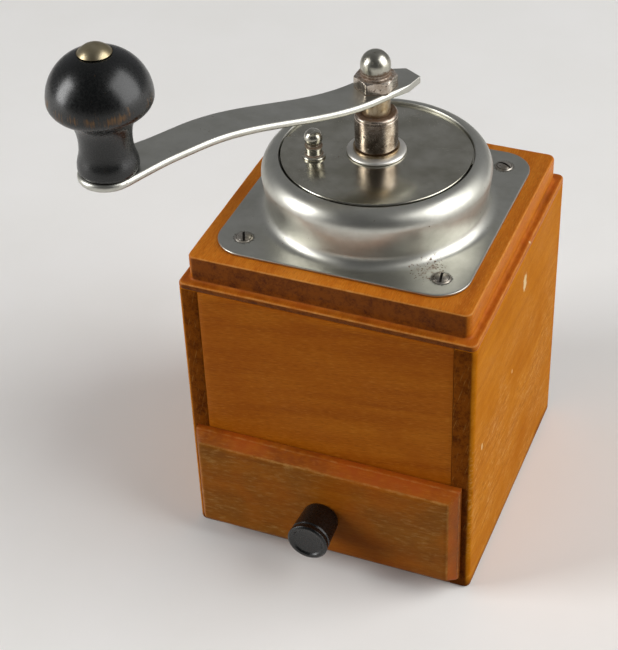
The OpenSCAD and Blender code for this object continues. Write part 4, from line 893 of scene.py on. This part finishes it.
def lidKnob():
    b = ballSizes
    start = math.degrees(math.asin(b["groove"] / b["radius"])) - 90
    ball = arc((0, b["centre"]), b["radius"], start, 90, 24)
    ball[-1] = Vector((0, b["centre"] + b["radius"]))
    profile = eased([(0, b["low"] - b["seat"]), (1.5, b["low"] - b["seat"]), (1.5, 0.0),
        (b["foot"] - 0.2, 0.0, 0.15), (b["foot"], 0.8, 0.4), (b["stem"] + 0.6, 1.3, 0.3), (b["stem"], 1.7, 0.3),
        (b["stem"], 3.65, 0.1), (b["stem"] - 0.2, 3.8, 0.1), (b["collar"], 4.05, 0.15), (b["collar"], 4.95, 0.25),
        (b["groove"], 5.2, 0.12), (b["groove"], 5.6)])
    bm = turned(profile + ball, 64)
    a = math.radians(b["angle"])
    bmesh.ops.translate(bm, vec=Vector((b["reach"] * math.cos(a), b["reach"] * math.sin(a), b["seat"])) * mm,
        verts=bm.verts)
    return finishPiece(bm, "lidKnob", "lid", ballNickel, ["lid_knob"], 40)


lidKnob()

# Hub: the flanged bush in the deck, its rim rounded over by wiping.
hubSizes = {"bore": 5.35, "tail": 7.0, "bush": 8.0, "rim": 11.1, "crown": 8.2, "tailLow": 149.3, "deckTop": 153.8,
    "low": 155.45, "shoulder": 155.85, "top": 157.0}  # mm


def bearingHub():
    h = hubSizes
    profile = eased([(h["bore"], h["tailLow"]), (h["tail"], h["tailLow"], 0.25), (h["tail"], h["deckTop"]),
        (h["bush"], h["deckTop"]), (h["bush"], h["low"]), (h["rim"] - 0.1, h["low"], 0.08),
        (h["rim"], h["shoulder"] - 0.1)])
    for i in range(13):  # the rim rounds over to the washer's seat
        a = math.pi / 2 * i / 12
        profile.append(Vector((h["crown"] + (h["rim"] - h["crown"]) * math.cos(a),
            h["shoulder"] + (h["top"] - h["shoulder"]) * math.sin(a))))
    profile += eased([(h["crown"], h["top"]), (h["bore"] + 0.3, h["top"], 0.2), (h["bore"], h["top"] - 0.3),
        (h["bore"], h["tailLow"])])[1:]
    return finishPiece(turned(profile), "bearingHub", "mill_body", hubNickel, ["bearing_bush"], 40)


bearingHub()

# Sleeve: a turned collar with a soft shoulder and a worn line under it.
sleeveSizes = {"bore": 5.35, "radius": 8.0, "low": 158.0, "top": 172.3, "chamfer": 0.7, "line": 170.6}  # mm


def adjustingSleeve():
    k = sleeveSizes
    profile = eased([(k["bore"], k["low"]), (k["radius"] - 0.5, k["low"], 0.2), (k["radius"], k["low"] + 0.6, 0.5),
        (k["radius"], k["line"] - 0.35, 0.1), (k["radius"] - 0.14, k["line"], 0.1),
        (k["radius"], k["line"] + 0.35, 0.1), (k["radius"], k["top"] - k["chamfer"], 0.4),
        (k["radius"] - k["chamfer"], k["top"], 0.4), (k["bore"] + 0.3, k["top"], 0.15), (k["bore"], k["top"] - 0.3),
        (k["bore"], k["low"])])
    return finishPiece(turned(profile), "adjustingSleeve", "sleeve", sleeveSteel,
        ["adjusting_sleeve"], 45)


adjustingSleeve()

# Thrust spring: round wire, its end coils closed.
springSizes = {"wire": 0.75, "coil": 7.4, "low": 117.75, "high": 149.25, "turns": 4, "closed": 1.6, "steps": 40,
    "lift": 0.8}  # mm


def thrustSpring():
    k = springSizes
    bm = bmesh.new()
    ring = bmesh.ops.create_circle(bm, segments=12, radius=k["wire"] * mm)["verts"]
    place = Matrix.Translation((k["coil"] * mm, 0, (k["low"] + k["wire"]) * mm)) @ Matrix.Rotation(math.pi / 2, 4,
        "X")
    bmesh.ops.transform(bm, matrix=place, verts=ring)
    geom = ring + list({e for v in ring for e in v.link_edges})
    ends = [e for e in geom if isinstance(e, bmesh.types.BMEdge)]
    free = k["high"] - k["low"] - 2 * k["wire"] - 2 * k["closed"]
    for turns, rise in ((1, k["closed"]), (k["turns"], free), (1, k["closed"])):
        steps = turns * k["steps"]
        geom = bmesh.ops.spin(bm, geom=geom, cent=(0, 0, 0), axis=(0, 0, 1), dvec=(0, 0, rise * mm / steps),
            angle=turns * math.tau, steps=steps)["geom_last"]
    bmesh.ops.contextual_create(bm, geom=ends)
    bmesh.ops.contextual_create(bm, geom=[e for e in geom if isinstance(e, bmesh.types.BMEdge)])
    closeSeams(bm)
    spring = finishPiece(bm, "thrustSpring", "thrust_collar", innerSteel, ["thrust_spring"], 40)
    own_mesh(spring)
    return spring


thrustSpring()
print("lid, hub, sleeve and spring made")

# Crank arm: a forged strip with an S bend, rounded edges, a clipped heel and a round eye.
armSizes = {"turn": 240, "top": 182.8, "rise": 12.8, "thick": 3.0, "half": 7.8, "heel": -16.3, "clip": 7.3,
    "clipNear": 2.2, "clipFar": 5.6, "bendFrom": 5.0, "bendTo": 80.0, "eye": 112.7, "eyeRadius": 9.95,
    "flare": 24.0, "edge": 1.3, "heelEdge": 0.3}  # mm, degrees


def armTop(k, along):  # height of the arm's upper face
    t = min(max((along - k["bendFrom"]) / (k["bendTo"] - k["bendFrom"]), 0), 1)
    return k["top"] + k["rise"] * t * t * (3 - 2 * t)


def armOutline(k, clipIn):  # one side of the arm's plan, from the heel to the tip of the eye
    side = [Vector((k["heel"], k["half"] - clipIn))]
    side += [Vector((k["heel"] + k["clip"] * i / 6, k["half"] - clipIn * (1 - i / 6))) for i in range(1, 7)]
    side.append(Vector((k["heel"] + k["clip"] + 2, k["half"])))
    side += [Vector((-4 + i * 2.5, k["half"])) for i in range(37)]
    start = k["eye"] - k["flare"]
    for i in range(1, 13):
        t = i / 12
        side.append(Vector((start + (k["flare"] - 2.2) * t, k["half"]
            + (k["eyeRadius"] - 0.1 - k["half"]) * t * t * (1.6 - 0.6 * t))))
    side += arc((k["eye"], 0), k["eyeRadius"], 90 - 4, 3, 30)
    return side


def crankArm():
    k = armSizes
    side, far = armOutline(k, k["clipNear"]), armOutline(k, k["clipFar"])
    plan = side + [Vector((p.x, -p.y)) for p in reversed(far)]
    count = len(plan)
    mitres = []
    for i in range(count):  # outward at each corner, long enough to keep the inset even
        before, after = (plan[i] - plan[i - 1]).normalized(), (plan[(i + 1) % count] - plan[i]).normalized()
        a, b = Vector((before.y, -before.x)), Vector((after.y, -after.x))
        mitres.append((a + b) / -(1 + a.dot(b)))
    spin = Matrix.Rotation(math.radians(k["turn"]), 3, "Z")
    half = k["thick"] / 2
    rings = []
    for upper in (-1, 1):
        for step in range(7):
            a = math.pi / 2 * (step / 6 if upper > 0 else step / 6 - 1)
            ring = []
            for p, out in zip(plan, mitres):
                soft = k["heelEdge"] + (k["edge"] - k["heelEdge"]) * min(max((p.x - k["heel"] - k["clip"]) / 6, 0),
                    1)
                q = p - out * soft * (1 - math.cos(a))
                lift = upper * (half - soft) + soft * math.sin(a)
                ring.append(spin @ Vector((q.x, q.y, armTop(k, q.x) - half + lift)) * mm)
            rings.append(ring)
    bm = bmesh.new()
    loft(bm, rings)
    bm.verts.ensure_lookup_table()
    for first in (0, (len(rings) - 1) * count):  # under and upper face, in strips across the arm
        for i in range(len(side) - 1):
            a, b = first + i, first + count - 1 - i
            bmesh.ops.contextual_create(bm, geom=[bm.verts[j] for j in (a, a + 1, b - 1, b)])
            bm.verts.ensure_lookup_table()
    bmesh.ops.recalc_face_normals(bm, faces=bm.faces)
    return finishPiece(bm, "crankArm", "crank", armNickel, ["crank_arm"], 45)


crankArm()

# Acorn nut: a hexagon with a turned chamfer under a polished acorn.
nutSizes = {"flats": 14.0, "height": 4.7, "seat": 182.8, "turn": 24, "acorn": 5.55, "acornHeight": 9.5,
    "chamfer": 0.577}  # mm


def acornNut():
    k = nutSizes
    apothem = k["flats"] / 2
    count = 144
    levels = [(0.0, 0.12)] + [(0.12, 0.0), (1.2, 0.0), (2.4, 0.0)] + [(2.9 + 0.2 * i, 0.0)
        for i in range(9)] + [(k["height"], 0.0)]

    def hexRing(level, inset):
        ring = []
        cone = 0.97 * apothem + (k["height"] - level) / k["chamfer"]
        for i in range(count):
            a = math.tau * i / count
            off = (a + math.pi / 6) % (math.pi / 3) - math.pi / 6
            flat = apothem / math.cos(off)
            reach = min(flat - inset, cone, apothem / math.cos(math.pi / 6) - 0.12)
            turn = a + math.radians(k["turn"] + 30)
            ring.append(Vector((reach * math.cos(turn), reach * math.sin(turn), k["seat"] + level)) * mm)
        return ring

    sections = [hexRing(level, inset) for level, inset in levels]
    guide = sections[-1]
    foot = k["height"]
    dome = k["height"] + k["acornHeight"] - k["acorn"]
    outline = [(k["acorn"] + 0.55, foot), (k["acorn"] + 0.1, foot + 0.12), (k["acorn"] - 0.25, foot + 0.5),
        (k["acorn"] - 0.2, foot + 1.6), (k["acorn"], dome - 0.6)]
    outline += [(p.x, p.y) for p in arc((0, dome), k["acorn"], 0, 86, 16)]
    sections += [roundRing(radius, k["seat"] + level, guide) for radius, level in outline]
    bm = bmesh.new()
    low, tip = loft(bm, sections)
    bmesh.ops.contextual_create(bm, geom=low)
    bmesh.ops.contextual_create(bm, geom=tip)
    bmesh.ops.recalc_face_normals(bm, faces=bm.faces)
    piece = finishPiece(bm, "acornNut", "crank", nutSteel, ["acorn_nut"], 28)
    piece.data.materials.append(acornNickel)
    for face in piece.data.polygons:
        if face.center.z > (k["seat"] + k["height"] + 1.5) * mm:
            face.material_index = 1
    return piece


acornNut()

# Crank knob: a turned mushroom on a flared neck, and the riveted pin with its domed head.
knobSizes = {"foot": 10.2, "neck": 8.8, "neckHeight": 10.5, "flare": 4.7, "belly": 17.2, "bellyHeight": 26.6,
    "under": 8.0, "height": 43.0, "bore": 3.05, "cap": 5.7, "capHeight": 3.0, "capGap": 0.3, "armGap": 0.3,
    "pin": 3.0, "rivet": 5.0, "rivetHeight": 1.6}  # mm


def blendCurve(points, steps):  # cubic through its four control points
    a, b, c, d = (Vector(p) for p in points)
    out = []
    for i in range(steps + 1):
        t = i / steps
        out.append(a * (1 - t) ** 3 + b * 3 * t * (1 - t) ** 2 + c * 3 * t * t * (1 - t) + d * t ** 3)
    return out


def crankKnob():
    k = knobSizes
    seat = k["cap"] + 0.3
    rise = k["height"] - k["bellyHeight"]
    seatHeight = k["bellyHeight"] + rise * math.sqrt(1 - (seat / k["belly"]) ** 2)
    fromAngle = -math.acos((k["neck"] + k["flare"]) / k["belly"])
    toAngle = math.asin((seatHeight - k["bellyHeight"]) / rise)
    head = []
    for i in range(49):
        a = fromAngle + (toAngle - fromAngle) * i / 48
        head.append(Vector((k["belly"] * math.cos(a), k["bellyHeight"]
            + (k["under"] if a < 0 else rise) * math.sin(a))))
    n = k["neckHeight"]
    profile = eased([(k["bore"], 0), (k["foot"] - 0.5, 0, 0.4), (k["foot"], 1.2)])
    profile += blendCurve([(k["foot"], 1.3), (k["foot"], n / 2), (k["neck"], n / 2), (k["neck"], n)], 12)
    leadIn = head[0] - 0.3 * Vector((-k["belly"] * math.sin(fromAngle), k["under"] * math.cos(fromAngle)))
    profile += blendCurve([(k["neck"], n), (k["neck"], (n + head[0].y) / 2), leadIn, head[0]], 14)[1:-1]
    profile += head + [Vector((k["bore"], seatHeight)), Vector((k["bore"], 0))]
    bm = turned(profile, 112)
    bmesh.ops.translate(bm, vec=Vector((*knobAxis, knobFoot)) * mm, verts=bm.verts)
    finishPiece(bm, "crankKnob", "handle", gripLacquer, ["crank_knob"], 40)
    capSeat = knobFoot + seatHeight + k["capGap"]
    crown = crownArc(k["cap"], k["capHeight"], 0.1, capSeat, 14)
    eye = knobFoot - k["armGap"] - armSizes["thick"]  # underside of the arm at the eye
    pin = eased([(0, eye - k["rivetHeight"]), (0.7 * k["rivet"], eye - k["rivetHeight"], 0.5),
        (k["rivet"], eye, 0.2), (k["pin"], eye + 0.01), (k["pin"], capSeat), (k["cap"] - 0.15, capSeat, 0.1),
        (k["cap"] - 0.02, capSeat + 0.25)])
    bm = turned(pin + crown, 72)
    bmesh.ops.translate(bm, vec=Vector((*knobAxis, 0)) * mm, verts=bm.verts)
    return finishPiece(bm, "knobPin", "crank", capNickel, ["knob_pin"], 40)


crankKnob()
print("crank, nut and knob made")

# CAD nodes that stay as they are get their finish here.
keptFinishes = {
    innerSteel: ["deck_rivets", "bush_nut", "spring_seat", "spring_pin", "bowl_screws", "bridge_screws", "burr_pin",
                 "drawer_knob_screw"],
    castIron: ["hopper_bowl", "outer_burr", "inner_burr", "bearing_bridge"],
    spindleSteel: ["spindle", "thrust_washer"],
}
for finish, names in keptFinishes.items():
    for name in names:
        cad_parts[name].data.materials[0] = finish
print("kept nodes finished")

# Stage: a pale floor, two soft boxes and a dim sky that is brighter behind.
stageLook = {"floor": "F2F0EC", "sky": "E6E7EA", "bounce": "7A7976", "near": 0.10, "far": 0.32, "size": 60.0,
    "grain": 60, "floorPale": "F5F3F0"}  # m, and mm for the grain


def paleFloor():
    bm = bmesh.new()
    bmesh.ops.create_grid(bm, x_segments=2, y_segments=2, size=stageLook["size"] / 2)
    mesh = bpy.data.meshes.new("paleFloor")
    bm.to_mesh(mesh)
    bm.free()
    finish, tree, shader, spot = newFinish("matFloor")
    grain = addNode(tree, "TexNoise", {}, {"Vector": spot, "Scale": 1 / (stageLook["grain"] * mm), "Detail": 3.0})
    tone = addNode(tree, "ValToRGB", {"stops": [(0.3, stageLook["floor"]), (0.7, stageLook["floorPale"])]},
        {"Fac": grain})
    # pale to the eye and in metal, and a calmer grey to the light that it throws back
    path = addNode(tree, "LightPath", {}, {}).outputs
    seen = addNode(tree, "Math", larger, {0: path["Is Camera Ray"], 1: path["Is Glossy Ray"]})
    shown = addNode(tree, "Math", larger, {0: seen, 1: path["Is Transmission Ray"]})
    pale = addNode(tree, "Mix", colourMix, {0: shown, 6: linear(stageLook["bounce"]), 7: tone})
    feed(tree, shader, {"Base Color": pale, "Roughness": 0.8})
    mesh.materials.append(finish)
    floor = bpy.data.objects.new("paleFloor", mesh)
    bpy.context.scene.collection.objects.link(floor)


def paleSky():
    world = bpy.data.worlds.new("paleSky")
    bpy.context.scene.world = world
    world.use_nodes = True
    tree = world.node_tree
    toward = addNode(tree, "TexCoord", {}, {}).outputs["Generated"]
    parts = addNode(tree, "SeparateXYZ", {}, {0: toward}).outputs
    glow = addNode(tree, "MapRange", smooth, {"Value": parts[1], "From Min": -0.7, "From Max": 0.7,
        "To Min": stageLook["near"], "To Max": stageLook["far"]})
    feed(tree, tree.nodes["Background"], {"Color": linear(stageLook["sky"]), "Strength": glow})


softBoxes = [  # place and aim in mm, width and height in m, watts
    {"name": "softBoxRight", "place": (1800, 300, 1160), "aim": (0, 0, 120), "size": (2.0, 2.4), "watts": 53},
    {"name": "softBoxLeft", "place": (-1760, -1040, 920), "aim": (0, 0, 120), "size": (0.84, 1.6), "watts": 35},
]


def softLights():
    for box in softBoxes:
        lamp = bpy.data.lights.new(box["name"], "AREA")
        lamp.shape = "RECTANGLE"
        lamp.size, lamp.size_y = box["size"]
        lamp.energy = box["watts"]
        stand = bpy.data.objects.new(box["name"], lamp)
        place, aim = Vector(box["place"]) * mm, Vector(box["aim"]) * mm
        stand.matrix_world = Matrix.Translation(place) @ (place - aim).to_track_quat("Z", "Y").to_matrix().to_4x4()
        bpy.context.scene.collection.objects.link(stand)


photoView = {"azimuth": 23.502, "elevation": 38.374, "roll": -2.548, "place": (187.55, -500.84, 497.63),
    "focal": 1713.46, "sensor": 36.0, "rows": 650}  # degrees, mm, pixels of a 618 by 650 frame


def photoCamera():
    v = photoView
    turn, lift, roll = (math.radians(v[k]) for k in ("azimuth", "elevation", "roll"))
    back = Vector((math.sin(turn) * math.cos(lift), -math.cos(turn) * math.cos(lift), math.sin(lift)))
    right = Vector((math.cos(turn), math.sin(turn), 0))
    up = back.cross(right)
    right, up = math.cos(roll) * right + math.sin(roll) * up, math.cos(roll) * up - math.sin(roll) * right
    lens = bpy.data.cameras.new("photoCamera")
    lens.sensor_fit = "AUTO"
    lens.sensor_width = v["sensor"]
    lens.lens = v["focal"] * v["sensor"] / v["rows"]
    lens.clip_start, lens.clip_end = 0.01, 50
    camera = bpy.data.objects.new("photoCamera", lens)
    turnTo = Matrix((right, up, back)).transposed().to_4x4()
    camera.matrix_world = Matrix.Translation(Vector(v["place"]) * mm) @ turnTo
    bpy.context.scene.collection.objects.link(camera)
    bpy.context.scene.camera = camera


paleFloor()
paleSky()
softLights()
photoCamera()
bpy.context.scene.view_settings.view_transform = "Standard"
print("stage, lights and camera set")
